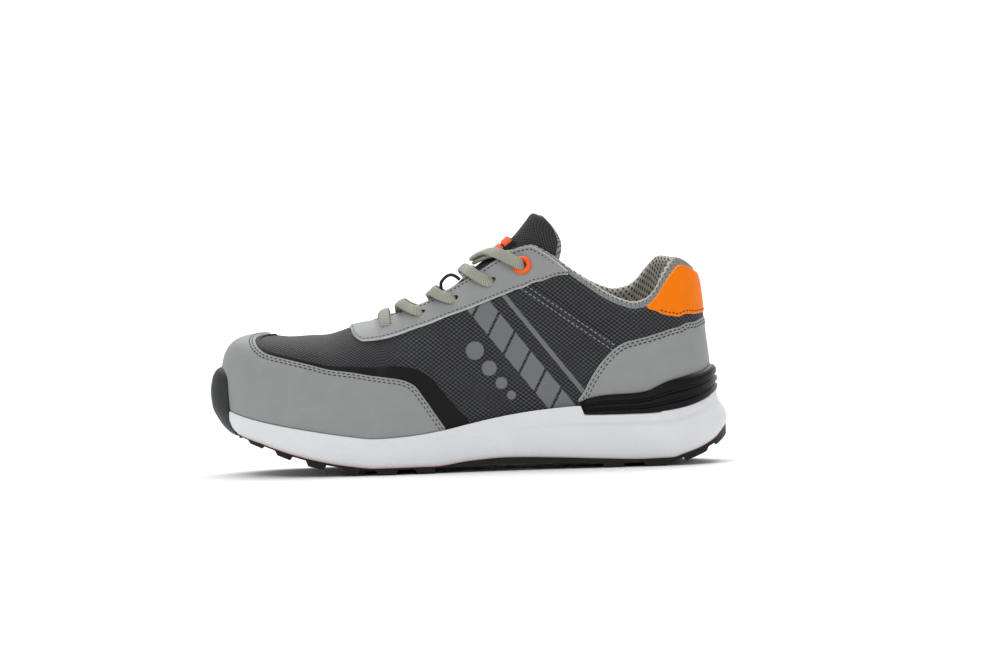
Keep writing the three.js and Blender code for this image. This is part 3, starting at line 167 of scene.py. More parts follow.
BUMPER_FACE = Table("rise reach", [
    (0, -0.85), (0.035, -0.35), (0.105, 0.05), (0.25, 0.53), (0.45, 0.92), (0.65, 1),
    (0.86, 0.86), (0.96, 0.62), (1, 0.38),
])
# Grooves of the tread, as shares of the shoe's length
GROOVES = [
    (0.053, 0.074), (0.107, 0.127), (0.161, 0.186), (0.225, 0.256), (0.29, 0.319),
    (0.361, 0.394), (0.434, 0.752), (0.795, 0.831), (0.878, 0.908), (0.958, 0.968),
]
CENTRE_GROOVES = [(0.08, 0.45), (0.74, 0.955)]
CLIP = Table("at low high proud", [
    (0.735, 0.05, 0.72, 0.86), (0.754, 0.03, 0.86, 0.88), (0.785, 0.02, 0.97, 0.9),
    (0.847, 0.02, 1.03, 0.92), (0.873, 0.04, 1.13, 0.94), (0.894, 0.08, 1.36, 0.96),
    (0.915, 0.15, 1.57, 0.97), (0.95, 0.32, 1.77, 1), (0.982, 0.66, 1.95, 1),
    (1, 0.98, 2.2, 1),
])
CLIP_FACE = Table("level out", [
    (0, 0.8), (0.07, 1), (0.22, 1), (0.27, 0.78), (0.34, 0.78), (0.39, 1), (0.53, 1),
    (0.58, 0.78), (0.65, 0.78), (0.7, 0.98), (0.86, 0.95), (1, 0.62),
])
TOE_PANEL = Table("at high", [
    (0, 0.955), (0.006, 0.9), (0.025, 0.76), (0.045, 0.63), (0.062, 0.545),
    (0.083, 0.488), (0.128, 0.458), (0.193, 0.433), (0.256, 0.397), (0.318, 0.369),
    (0.362, 0.35), (0.391, 0.31), (0.411, 0.234), (0.435, 0.132), (0.452, 0.062),
])
TOE_TRIM = Table("at high", [
    (0, 0.998), (0.006, 0.96), (0.025, 0.825), (0.045, 0.7), (0.062, 0.61),
    (0.083, 0.55), (0.128, 0.505), (0.193, 0.475), (0.256, 0.445), (0.318, 0.435),
    (0.35, 0.44), (0.38, 0.425), (0.425, 0.34), (0.45, 0.245), (0.478, 0.14),
    (0.5, 0.07),
])
EYESTAY = Table("at low", [
    (0.262, 0.9), (0.266, 0.78), (0.276, 0.69), (0.29, 0.65), (0.32, 0.647),
    (0.363, 0.681), (0.404, 0.71), (0.446, 0.718), (0.5, 0.71), (0.573, 0.7),
    (0.615, 0.708), (0.657, 0.777), (0.699, 0.912), (0.716, 0.97),
])
COUNTER = Table("at high", [
    (0.729, 0.1), (0.739, 0.145), (0.757, 0.27), (0.776, 0.395), (0.797, 0.515),
    (0.818, 0.61), (0.839, 0.668), (0.862, 0.695), (0.883, 0.693), (0.904, 0.66),
    (0.926, 0.615), (0.949, 0.586), (0.972, 0.598), (1, 0.665),
])
HEEL_TAB = Table("at low high", [
    (0.88, 0.95, 0.98), (0.898, 0.857, 0.98), (0.912, 0.77, 0.98),
    (0.928, 0.7, 0.98), (0.951, 0.643, 0.98), (0.975, 0.65, 0.98),
    (1, 0.695, 0.983),
])
# Share of the last and of the rib at each lace hole, from the toe
LACE_HOLES = [(0.338, 0.81), (0.408, 0.865), (0.477, 0.852), (0.555, 0.84), (0.622, 0.862)]
# Each pass's upper hole, its way to the throat's edge, its crossing and its hump
LACE_PASSES = [
    (1, 0.036, 0.374, 0.8), (2, 0.036, 0.438, 0.8), (3, 0.038, 0.508, 0.8),
    (4, 0.045, 0.532, 2.2),
]
TONGUE = Table("t crest top edge edgeTop half pad", [
    (0, 0.3, 0.545, 0.31, 0.515, 0.165, 0.35), (0.1, 0.338, 0.577, 0.345, 0.54, 0.185, 0.4),
    (0.22, 0.4, 0.628, 0.41, 0.575, 0.19, 0.5),
    (0.36, 0.47, 0.705, 0.485, 0.625, 0.188, 0.6),
    (0.5, 0.53, 0.8, 0.565, 0.69, 0.185, 0.75),
    (0.62, 0.58, 0.865, 0.64, 0.745, 0.178, 0.9),
    (0.74, 0.609, 0.915, 0.692, 0.8, 0.178, 1),
    (0.86, 0.63, 0.962, 0.702, 0.872, 0.178, 0.95),
    (0.95, 0.642, 0.99, 0.688, 0.94, 0.15, 0.75),
    (1, 0.65, 1, 0.668, 0.985, 0.09, 0.45),
])


def smooth(low, high, value):
    t = np.clip((value - low) / (high - low), 0, 1)
    return t * t * (3 - 2 * t)


def unit(a):
    return a / np.maximum(np.linalg.norm(a, axis=-1, keepdims=True), 1e-12)


def round_end(distance, length, squareness):
    left = 1 - np.clip(distance / length, 0, 1)
    return (1 - left**squareness) ** (1 / squareness)


def last_x(at):
    return TOE_X + LAST_LENGTH * np.asarray(at, float)


def last_at(x):
    return np.clip((np.asarray(x, float) - TOE_X) / LAST_LENGTH, 0, 1)


def centre_y(at):
    return BALL_WIDTH * PLAN("centre", at)


def half_width(at):
    opening = round_end(at * LAST_LENGTH, TOE_ROUND, TOE_SQUARENESS)
    opening = opening * round_end((1 - at) * LAST_LENGTH, HEEL_ROUND, HEEL_SQUARENESS)
    return opening * PLAN.total(at, ball=BALL_WIDTH, seat=SEAT_WIDTH)


def foot_plane(x):
    return FOOT_PLANE.total(last_at(x), fore=FORE_STACK, heel=HEEL_STACK, spring=TOE_SPRING)


def rim_height(x):
    return foot_plane(x) + LIP_HEIGHT * FOOT_PLANE("rim", last_at(x))


def shoe_at(x):
    return np.clip(np.asarray(x, float) / SHOE_LENGTH + 0.5, 0, 1)


def tread_height(x):
    return TREAD.total(shoe_at(x), spring=TOE_SPRING, kick=HEEL_KICK)


def web_height(x):
    return tread_height(x) + LUG_DEPTH * TREAD("lug", shoe_at(x))


def sole_height(x):
    return tread_height(x) + OUTSOLE_THICKNESS * TREAD("build", shoe_at(x))


def rib_at(u):
    return (1 - np.cos(np.pi * np.abs(u))) / 2


def rib_of(at):
    return math.acos(1 - 2 * at) / math.pi


def wrap(u):
    return np.where(u > 1, u - 2, np.where(u < -1, u + 2, u))


def all_round(count):
    """Stations once round the last, from the heel over the medial side."""
    return 1 - 2 * np.arange(count) / count


def last_outline(u):
    at = rib_at(u)
    return np.stack([last_x(at), centre_y(at) + np.sign(u) * half_width(at)], -1)


def way_round(u):
    """The way along the last's outline, seen from above."""
    return unit(last_outline(wrap(u + 0.002)) - last_outline(wrap(u - 0.002)))


def foot_point(u, out=0.0):
    u = np.asarray(u, float)
    along = way_round(u)
    away = np.stack([-along[..., 1], along[..., 0]], -1)
    return last_outline(u) + away * np.asarray(out, float)[..., None]


def on_foot(u, height, out=0.0):
    """Points beside the last's outline, at heights worked out from their x."""
    p = foot_point(u, out)
    return np.column_stack([p, height(p[:, 0])])


def is_closed(u):
    return TOP_LINE("gap", rib_at(u)) < 1e-6


def upper_point(u, v):
    u, v = np.broadcast_arrays(np.asarray(u, float), np.asarray(v, float))
    over = (v > 1) & is_closed(u)
    u, v = np.where(over, -u, u), np.where(over, 2 - v, v)
    at = rib_at(u)
    foot = foot_point(u)
    start = np.stack([foot[..., 0], foot[..., 1], foot_plane(foot[..., 0]) + CLEARANCE], -1)
    lean = at + TOP_LINE("lean", at)
    ankle = ANKLE_HEIGHT + np.where(u > 0, MEDIAL_RISE, 0)
    lead = MEDIAL_LEAD * smooth(0.6, 0.84, at) * (1 - smooth(0.9, 1, at))
    level = at + np.where(u > 0, lead, 0)
    heights = {"toe": TOE_HEIGHT, "instep": INSTEP_HEIGHT, "ankle": ankle, "heel": HEEL_HEIGHT}
    gap = np.sign(u) * half_width(at) * TOP_LINE("gap", at)
    end = np.stack([last_x(lean), centre_y(lean) + gap, TOP_LINE.total(level, **heights)], -1)
    out = (start - end) * np.array([1.0, 1, 0])
    reach = np.linalg.norm(out, axis=-1)
    out = unit(out)
    height = end[..., 2] - start[..., 2]
    low = start + out * (RIB_BOW("flare", at) * SIDE_FLARE)[..., None]
    low[..., 2] += height * RIB_BOW("wall", at)
    high = end + out * (RIB_BOW("crown", at) * reach)[..., None]
    high[..., 2] -= height * RIB_BOW("drop", at)
    v = v[..., None]
    w = 1 - v
    return start * w**3 + low * 3 * w * w * v + high * 3 * w * v * v + end * v**3


def upper_normal(u, v):
    u, v = np.broadcast_arrays(np.asarray(u, float), np.asarray(v, float))
    around = upper_point(wrap(u + 0.004), v) - upper_point(wrap(u - 0.004), v)
    up = upper_point(u, v + 0.004) - upper_point(u, np.maximum(v - 0.004, 0))
    return unit(np.cross(up, around))


def padding(u, v):
    return smooth(PAD_START, PAD_FULL, rib_at(u)) * smooth(PAD_BOTTOM, PAD_BODY, v)


def offset_point(u, v, distance=0.0):
    u, v = np.broadcast_arrays(np.asarray(u, float), np.asarray(v, float))
    over = (u < 0) & (v >= 1) & is_closed(u)
    u, v = np.where(over, -u, u), np.where(over, 2 - v, v)
    swell = COLLAR_PUFF * padding(u, v) * (1 - smooth(0.9, 1.05, v))
    return upper_point(u, v) + upper_normal(u, v) * (distance + swell)[..., None]


def rib_speed(u, v):
    """Millimetres of rib per unit of v."""
    return np.linalg.norm(upper_point(u, v) - upper_point(u, v - 0.01), axis=-1) / 0.01


def up_at(u, height):
    """Share of a rib at which the upper reaches a height."""
    u = np.asarray(u, float)
    low, high = np.zeros(u.shape), np.full(u.shape, 0.8)
    for _ in range(24):
        middle = (low + high) / 2
        below = upper_point(u, middle)[..., 2] < height
        low, high = np.where(below, middle, low), np.where(below, high, middle)
    return low


def wall_depth(u, v):
    return -WALL - COLLAR_PAD * padding(u, v)


def stand_out(level, u):
    along = way_round(u)
    toe = np.maximum(along[..., 1], 0) ** 2
    heel = np.maximum(-along[..., 1], 0) ** 2
    rear = smooth(0.5, 0.7, rib_at(u))
    side = MIDSOLE_SIDE("fore", level) * (1 - rear) + MIDSOLE_SIDE("rear", level) * rear
    total = MIDSOLE_SIDE("toe", level) * toe + MIDSOLE_SIDE("heel", level) * heel
    return total + side * (1 - toe - heel)


# Making meshes

class Shape:
    """Grids of points in millimetres, joined into one mesh."""

    def __init__(self):
        self.points, self.faces, self.slots, self.values = [], [], [], {}
        self.count = 0

    def grid(self, points, slot=0, closed=False, flip=False, keep=None, **values):
        rows, columns = points.shape[:2]
        index = np.arange(rows * columns).reshape(rows, columns) + self.count
        self.points.append(points.reshape(-1, 3))
        for name, value in values.items():
            filled = np.broadcast_to(value, (rows, columns)).reshape(-1)
            self.values.setdefault(name, []).append((self.count, filled))
        self.count += rows * columns
        after = np.roll(index, -1, 0) if closed else index[1:]
        here = index if closed else index[:-1]
        quads = np.stack([here[:, :-1], after[:, :-1], after[:, 1:], here[:, 1:]], -1)
        if flip:
            quads = quads[..., ::-1]
        slots = np.broadcast_to(slot, quads.shape[:2])
        wanted = np.ones(quads.shape[:2], bool) if keep is None else keep
        self.faces.append(quads[wanted])
        self.slots.append(slots[wanted])
        return self

    def make(self, name, materials, weld=0.01, flat_angle=None):
        points = np.concatenate(self.points) * 0.001
        mesh = bpy.data.meshes.new(name)
        mesh.from_pydata(points.tolist(), [], np.concatenate(self.faces).tolist())
        mesh.polygons.foreach_set("material_index", np.concatenate(self.slots).astype(np.int32))
        for key, parts in self.values.items():
            whole = np.zeros(len(points), np.float32)
            for start, filled in parts:
                whole[start : start + len(filled)] = filled
            mesh.attributes.new(key, "FLOAT", "POINT").data.foreach_set("value", whole)
        bm = bmesh.new()
        bm.from_mesh(mesh)
        if weld:
            bmesh.ops.remove_doubles(bm, verts=bm.verts, dist=weld * 0.001)
        bm.to_mesh(mesh)
        bm.free()
        for material in materials:
            mesh.materials.append(material)
        mesh.polygons.foreach_set("use_smooth", [True] * len(mesh.polygons))
        if flat_angle:
            mesh.set_sharp_from_angle(angle=math.radians(flat_angle))
        made = bpy.data.objects.new(name, mesh)
        bpy.context.scene.collection.objects.link(made)
        return made


def place(piece, node, slot):
    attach(piece, "root")
    if node:
        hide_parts(node)


# Making materials

class Shader:
    """Short calls for building a material from nodes."""

    def __init__(self, name, color, roughness=0.6, **sockets):
        self.material = bpy.data.materials.new(name)
        self.material.use_nodes = True
        self.tree = self.material.node_tree
        self.surface = self.tree.nodes["Principled BSDF"]
        self.surface.inputs["Base Color"].default_value = (*color, 1)
        self.surface.inputs["Roughness"].default_value = roughness
        for key, value in sockets.items():
            self.surface.inputs[key.replace("_", " ")].default_value = value
        coordinates = self.tree.nodes.new("ShaderNodeTexCoord")
        spread = self.node("ShaderNodeMapping", Vector=coordinates.outputs["Object"])
        spread.inputs["Scale"].default_value = (1000,) * 3
        self.spot = spread.outputs[0]  # object coordinates in millimetres

    def node(self, kind, **inputs):
        made = self.tree.nodes.new(kind)
        for key, value in inputs.items():
            self.feed(made.inputs[key.replace("_", " ")], value)
        return made

    def feed(self, socket, value):
        if isinstance(value, bpy.types.NodeSocket):
            self.tree.links.new(value, socket)
        else:
            socket.default_value = value

    def math(self, operation, *values):
        made = self.tree.nodes.new("ShaderNodeMath")
        made.operation = operation
        for i, value in enumerate(values):
            self.feed(made.inputs[i], value)
        return made.outputs[0]

    def split(self):
        return self.node("ShaderNodeSeparateXYZ", Vector=self.spot).outputs

    def value(self, name):
        made = self.tree.nodes.new("ShaderNodeAttribute")
        made.attribute_name = name
        return made.outputs["Fac"]

    def noise(self, size, detail):
        """Noise with features of about that many millimetres."""
        made = self.node(
            "ShaderNodeTexNoise", Vector=self.spot, Scale=1 / size, Detail=detail, Roughness=0.5
        )
        return made.outputs["Fac"]

    def cells(self, size):
        made = self.node("ShaderNodeTexVoronoi", Vector=self.spot, Scale=1 / size)
        return made.outputs["Distance"]

    def wave(self, value, length):
        """Sine wave from 0 to 1 along a value."""
        turned = self.math("SINE", self.math("MULTIPLY", value, 2 * math.pi / length))
        return self.math("MULTIPLY_ADD", turned, 0.5, 0.5)

    def step(self, low, high, value):
        made = self.node("ShaderNodeMapRange", Value=value)
        made.interpolation_type = "SMOOTHSTEP"
        made.inputs["From Min"].default_value = low
        made.inputs["From Max"].default_value = high
        return made.outputs[0]

    def mix(self, share, a, b):
        made = self.tree.nodes.new("ShaderNodeMix")
        made.data_type = "RGBA"
        self.feed(made.inputs["Factor"], share)
        for socket, value in zip((made.inputs[6], made.inputs[7]), (a, b)):
            self.feed(socket, value if isinstance(value, bpy.types.NodeSocket) else (*value, 1))
        return made.outputs[2]

    def blend(self, share, a, b):
        made = self.tree.nodes.new("ShaderNodeMix")
        self.feed(made.inputs["Factor"], share)
        self.feed(made.inputs[2], a)
        self.feed(made.inputs[3], b)
        return made.outputs[0]

    def color(self, value):
        self.feed(self.surface.inputs["Base Color"], value)

    def rough(self, value):
        self.feed(self.surface.inputs["Roughness"], value)

    def bump(self, height, millimetres, strength=1.0):
        """Bump by a height from 0 to 1 that stands for so many millimetres."""
        made = self.node("ShaderNodeBump", Height=height)
        made.inputs["Strength"].default_value = strength
        made.inputs["Distance"].default_value = millimetres * 0.001
        normal = self.surface.inputs["Normal"]
        if normal.is_linked:
            self.tree.links.new(normal.links[0].from_socket, made.inputs["Normal"])
        self.tree.links.new(made.outputs[0], normal)


def srgb(*values):
    shares = [v / 255 for v in values]
    return tuple(v / 12.92 if v <= 0.04 else ((v + 0.055) / 1.055) ** 2.4 for v in shares)


def shade(color, share):
    return tuple(min(c * share, 1) for c in color)


def leather(name, color, edge_color, roughness=0.52, shine=0.5):
    s = Shader(name, color, roughness, Specular_IOR_Level=shine)
    tone, speck = s.noise(9.0, 4.0), s.noise(0.35, 2.0)
    base = s.mix(s.blend(0.35, tone, speck), shade(color, 0.86), shade(color, 1.12))
    rim = s.step(0.42, 0.2, s.value("edge"))
    s.color(s.mix(rim, base, edge_color))
    s.rough(s.blend(speck, roughness - 0.06, roughness + 0.1))
    s.bump(s.cells(0.55), 0.05, 0.5)
    s.bump(s.noise(3.0, 3.0), 0.12, 0.4)
    return s.material


def lattice(s, x, y, across, along):
    """Staggered weave of raised knots, from 0 in a pit to 1 on a knot."""
    a = s.math("COSINE", s.math("MULTIPLY", x, 2 * math.pi / across))
    b = s.math("COSINE", s.math("MULTIPLY", y, 2 * math.pi / along))
    return s.math("MULTIPLY_ADD", s.math("MULTIPLY", a, b), 0.5, 0.5)


def printed(s, x, z):
    """1 on the printed tape, line and dots, in a frame turned to the tape's slope."""
    nx, nz = 0.789, 0.615
    tape_centre, tape_half, tile_length = 64.0, 6.6, 7.0
    line_centre, line_half = 79.0, 1.3
    dot_centre, dots = 46.0, ((-52.0, 5.2), (-39.0, 4.3), (-28.0, 3.4), (-19.0, 2.6))
    blur = 0.12
    over = s.math("MULTIPLY_ADD", x, nx, s.math("MULTIPLY", z, nz))
    down = s.math("MULTIPLY_ADD", x, nz, s.math("MULTIPLY", z, -nx))

    def within(distance, half):
        return s.step(half + blur, half - blur, distance)

    def strip(centre, half):
        return within(s.math("ABSOLUTE", s.math("SUBTRACT", over, centre)), half)

    beat = s.math("PINGPONG", s.math("MULTIPLY_ADD", over, 0.45, down), tile_length)
    tape = s.math("MULTIPLY", strip(tape_centre, tape_half), s.step(0.75, 0.95, beat))
    shown = s.math("MAXIMUM", tape, strip(line_centre, line_half))
    dx = s.math("SUBTRACT", over, dot_centre)
    for centre, radius in dots:
        dz = s.math("SUBTRACT", down, centre)
        square = s.math("ADD", s.math("MULTIPLY", dx, dx), s.math("MULTIPLY", dz, dz))
        shown = s.math("MAXIMUM", shown, within(s.math("SQRT", square), radius))
    region = s.math("MULTIPLY", s.step(-40.0, -39.0, x), s.step(0.2, 0.6, s.value("front")))
    return s.math("MULTIPLY", shown, region)


def upper_fabric():
    s = Shader("upper_mesh_fabric", srgb(52, 53, 58), 0.6, Specular_IOR_Level=0.3)
    x, _, z = s.split()
    knots = lattice(s, s.value("round"), z, 3.2, 2.4)
    fine = lattice(s, s.value("along"), s.value("across"), 2.3, 2.0)
    fore = s.step(-32.0, -52.0, x)
    weave = s.blend(fore, knots, fine)
    tone = s.noise(14.0, 2.0)
    fore_color = s.mix(tone, srgb(44, 45, 49), srgb(58, 59, 64))
    rear_color = s.mix(tone, srgb(56, 57, 62), srgb(74, 76, 83))
    thread_color = s.mix(fore, rear_color, fore_color)
    cloth = s.mix(s.step(0.36, 0.74, weave), srgb(14, 14, 16), thread_color)
    shown = printed(s, x, z)
    print_color = s.mix(s.noise(0.5, 1.0), srgb(98, 101, 103), srgb(112, 115, 117))
    s.color(s.mix(shown, cloth, print_color))
    s.rough(s.blend(shown, 0.62, 0.5))
    s.bump(s.blend(shown, weave, s.blend(0.85, weave, 0.6)), 0.45, 0.8)
    s.bump(s.noise(5.0, 2.0), 0.25, 0.3)
    return s.material


def plain_fabric(name, color, size, relief):
    s = Shader(name, color, 0.8)
    x, y, z = s.split()
    slanted = s.math("ADD", s.math("SUBTRACT", x, z), y)
    weave = lattice(s, s.math("ADD", x, z), slanted, size, size)
    share = s.blend(0.35, weave, s.noise(6.0, 3.0))
    s.color(s.mix(share, shade(color, 0.6), shade(color, 1.2)))
    s.bump(weave, relief, 0.7)
    return s.material


def perforated(name, colors, roughness, hole, spacing, relief):
    """Knit with rows of holes. Its colours are the mean, dark and light yarn and the hole."""
    s = Shader(name, colors[0], roughness)
    around, across = s.value("round"), s.value("across")
    holes = s.step(*hole, lattice(s, around, across, *spacing))
    base = s.mix(lattice(s, around, across, 0.7, 0.9), colors[1], colors[2])
    s.color(s.mix(holes, base, colors[3]))
    s.bump(s.math("SUBTRACT", 1.0, holes), relief, relief)
    return s


def lining_fabric():
    colors = srgb(165, 160, 150), srgb(160, 155, 146), srgb(194, 189, 180), srgb(74, 71, 67)
    s = perforated("collar_lining", colors, 0.85, (0.56, 0.8), (3.3, 4.4), 0.8)
    s.bump(s.noise(6.0, 2.0), 0.5, 0.3)
    return s.material


def collar_edge_fabric():
    colors = srgb(128, 130, 130), srgb(122, 124, 124), srgb(150, 152, 152), srgb(78, 79, 80)
    return perforated("collar_edge_mesh", colors, 0.75, (0.62, 0.86), (2.6, 3.0), 0.6).material


def tongue_fabric():
    s = Shader("tongue_mesh_fabric", srgb(49, 48, 50), 0.7, Specular_IOR_Level=0.3)
    weave = lattice(s, s.value("along"), s.value("across"), 2.6, 2.4)
    s.color(s.mix(s.step(0.3, 0.7, weave), srgb(20, 20, 21), srgb(66, 65, 67)))
    s.bump(weave, 0.5, 0.9)
    return s.material


def midsole_foam():
    s = Shader("midsole_foam_white", srgb(222, 223, 227), 0.5)
    tone, speck = s.noise(22.0, 3.0), s.noise(0.6, 2.0)
    s.color(s.mix(s.blend(0.3, tone, speck), srgb(206, 207, 211), srgb(226, 227, 231)))
    s.rough(s.blend(speck, 0.42, 0.6))
    s.bump(s.cells(1.1), 0.14, 0.7)
    return s.material


def rubber(name, color, toe_color, roughness=0.55):
    """Black rubber that is paler on the toe bumper."""
    s = Shader(name, color, roughness, Specular_IOR_Level=0.25)
    toe = s.step(-128.0, -142.0, s.split()[0])
    tone = s.noise(12.0, 4.0)
    s.color(s.mix(toe, s.mix(tone, color, shade(color, 1.5)), toe_color))
    s.rough(s.blend(tone, roughness - 0.08, roughness + 0.1))
    s.bump(s.noise(0.5, 3.0), 0.06, 0.5)
    return s.material


def clip_plastic():
    s = Shader("heel_clip_moulding", srgb(9, 9, 10), 0.34, Specular_IOR_Level=0.16)
    x, y, z = s.split()
    slope = s.math("ADD", s.math("MULTIPLY_ADD", x, 0.75, z), s.math("ABSOLUTE", y))
    s.bump(s.wave(slope, 1.1), 0.12, 0.5)
    s.bump(s.noise(0.4, 2.0), 0.03, 0.5)
    return s.material


def lace_weave():
    s = Shader("lace_weave", srgb(150, 152, 138), 0.8, Sheen_Weight=0.2)
    along, across = s.value("along"), s.value("across")
    slanted = s.math("MULTIPLY_ADD", s.math("ABSOLUTE", across), 0.35, along)
    weave = s.blend(0.35, s.wave(slanted, 0.85), s.wave(across, 0.7))
    dark = s.mix(s.noise(4.0, 2.0), srgb(112, 113, 100), srgb(124, 125, 112))
    s.color(s.mix(s.step(0.1, 0.7, weave), dark, srgb(168, 170, 156)))
    s.bump(weave, 0.28, 0.9)
    return s.material


def plain(name, color, roughness, size=0.5, relief=0.04, shine=0.5):
    s = Shader(name, color, roughness, Specular_IOR_Level=shine)
    tone = s.noise(size * 8, 3.0)
    s.color(s.mix(tone, shade(color, 0.88), shade(color, 1.1)))
    s.rough(s.blend(tone, roughness - 0.05, roughness + 0.08))
    s.bump(s.noise(size, 2.0), relief, 0.6)
    return s.material


# Camera, light and floor

QUARTER_TURN = np.linspace(0, math.pi / 2, 24)


def make_stage():
    scene = bpy.context.scene
    camera = bpy.data.cameras.new("camera")
    camera.lens, camera.sensor_width, camera.clip_end = 200, 36, 50
    view = bpy.data.objects.new("camera", camera)
    scene.collection.objects.link(view)
    scene.camera = view
    elevation, roll = math.radians(2.0), math.radians(1.7)
    target, view_width = Vector((0.01905, -0.012, 0.0779)), 0.578
    back = Vector((0, -math.cos(elevation), math.sin(elevation)))
    distance = view_width * camera.lens / camera.sensor_width
    turn = (-back).to_track_quat("-Z", "Y").to_matrix().to_4x4() @ Matrix.Rotation(-roll, 4, "Z")
    view.matrix_world = Matrix.Translation(target + back * distance) @ turn

    # a white floor that sweeps up behind the shoe
    s = Shader("floor_white", (0.93, 0.93, 0.93), 0.9)
    s.color(s.mix(s.noise(400.0, 2.0), (0.925, 0.925, 0.925), (0.94, 0.94, 0.94)))
    near, far, radius, side, top = -12.0, 4, 3, 14.0, 12.0
    bend = [(far + radius * math.sin(a), radius - radius * math.cos(a)) for a in QUARTER_TURN]
    run = [(near, 0.0), *bend, (far + radius, top)]
    sweep = np.array([[(x, y, z) for y, z in run] for x in (-side, side)]) * 1000
    Shape().grid(sweep).make("floor", [s.material])

    world = bpy.data.worlds.new("studio")
    world.use_nodes = True
    background = world.node_tree.nodes["Background"]
    background.inputs["Color"].default_value = (1, 1, 1, 1)
    background.inputs["Strength"].default_value = 0.63
    scene.world = world
    scene.view_settings.view_transform = "Standard"
    for name, spot, aim, size, power in (
        ("key_light", (-0.7, -0.9, 1.5), (0, 0, 0.05), 0.9, 7),
        ("front_light", (0.5, -1.8, 0.5), (0, 0, 0.06), 1.2, 3),
        ("back_light", (0.6, 1.4, 1.1), (0, 0, 0.06), 0.8, 5),
        ("ground_light", (0, 2.5, 3.0), (0, 3.0, 0), 4.0, 160),
    ):
        light = bpy.data.lights.new(name, "AREA")
        light.size, light.energy = size, power
        lamp = bpy.data.objects.new(name, light)
        lamp.location = spot
        lamp.rotation_euler = (Vector(aim) - Vector(spot)).to_track_quat("-Z", "Y").to_euler()
        scene.collection.objects.link(lamp)


make_stage()

MAT = {
    "fabric": upper_fabric(),
    "collar_edge": collar_edge_fabric(),
    "lining": lining_fabric(),
    "grey": leather("panel_leather_grey", srgb(138, 140, 140), srgb(205, 206, 206)),
    "orange": leather("tab_leather_orange", srgb(244, 122, 0), srgb(245, 150, 60), 0.55, 0.12),
    "film": plain("trim_film_black", srgb(16, 16, 17), 0.5, shine=0.15),
    "foam": midsole_foam(),
    "rubber": rubber("outsole_rubber_black", srgb(13, 13, 14), srgb(44, 47, 50)),
    "clip": clip_plastic(),
    "insole": plain_fabric("insole_cover", srgb(84, 85, 90), 0.9, 0.2),
    "tongue": tongue_fabric(),
    "label": plain("label_rubber_black", srgb(18, 18, 19), 0.55, shine=0.2),
    "tile": plain("label_tile_orange", srgb(250, 88, 20), 0.5),
    "eyelet": plain("eyelet_orange", srgb(255, 92, 8), 0.32, 0.8, 0.02),
    "lace": lace_weave(),
    "webbing": plain_fabric("keeper_webbing", srgb(44, 44, 46), 0.6, 0.15),
    "dark_thread": plain("thread_dark", srgb(38, 38, 40), 0.7),
    "grey_thread": plain("thread_grey", srgb(128, 129, 131), 0.7),
    "pink": plain("sole_bond_line", srgb(196, 158, 148), 0.6),
}


# The quarter's seam runs from the eyestay down and back, on both sides: its ends' x and z
SEAM_TOP, SEAM_FOOT = (38.4, 105.4), (88.2, 69.8)


def past_seam(x, z):
    """Millimetres behind the quarter's seam."""
    dx, dz = SEAM_FOOT[0] - SEAM_TOP[0], SEAM_FOOT[1] - SEAM_TOP[1]
    return ((x - SEAM_TOP[0]) * -dz + (z - SEAM_TOP[1]) * dx) / math.hypot(dx, dz)


def soft_form(u, v):
    """Padding, seam step and creases that the fabric shows over the plain form."""
    p = offset_point(u, v)
    x, z = p[..., 0], p[..., 2]
    behind = past_seam(x, z)
    pad = 1.25 * smooth(0.4, 9.0, behind) - 0.75 * np.exp(-((behind - 0.9) / 1.1) ** 2)
    pad = pad * smooth(0.12, 0.3, v) * (1 - smooth(0.93, 1.0, v))
    hems = 0.25 * smooth(-7.5, -6.6, behind) * (1 - smooth(-0.3, 0.3, behind))
    flex = 0.35 * np.sin((x + 0.35 * z + 10) / 5.2) * np.exp(-(((x + 62) / 24) ** 2))
    flex = flex * smooth(0.45, 0.6, v) * (1 - smooth(0.97, 1.0, v))
    return (pad + hems) * smooth(20, 40, x) + flex


def steps_of(points, axis):
    """Distances from each point to the next along an axis."""
    return np.linalg.norm(np.diff(points, axis=axis), axis=-1)


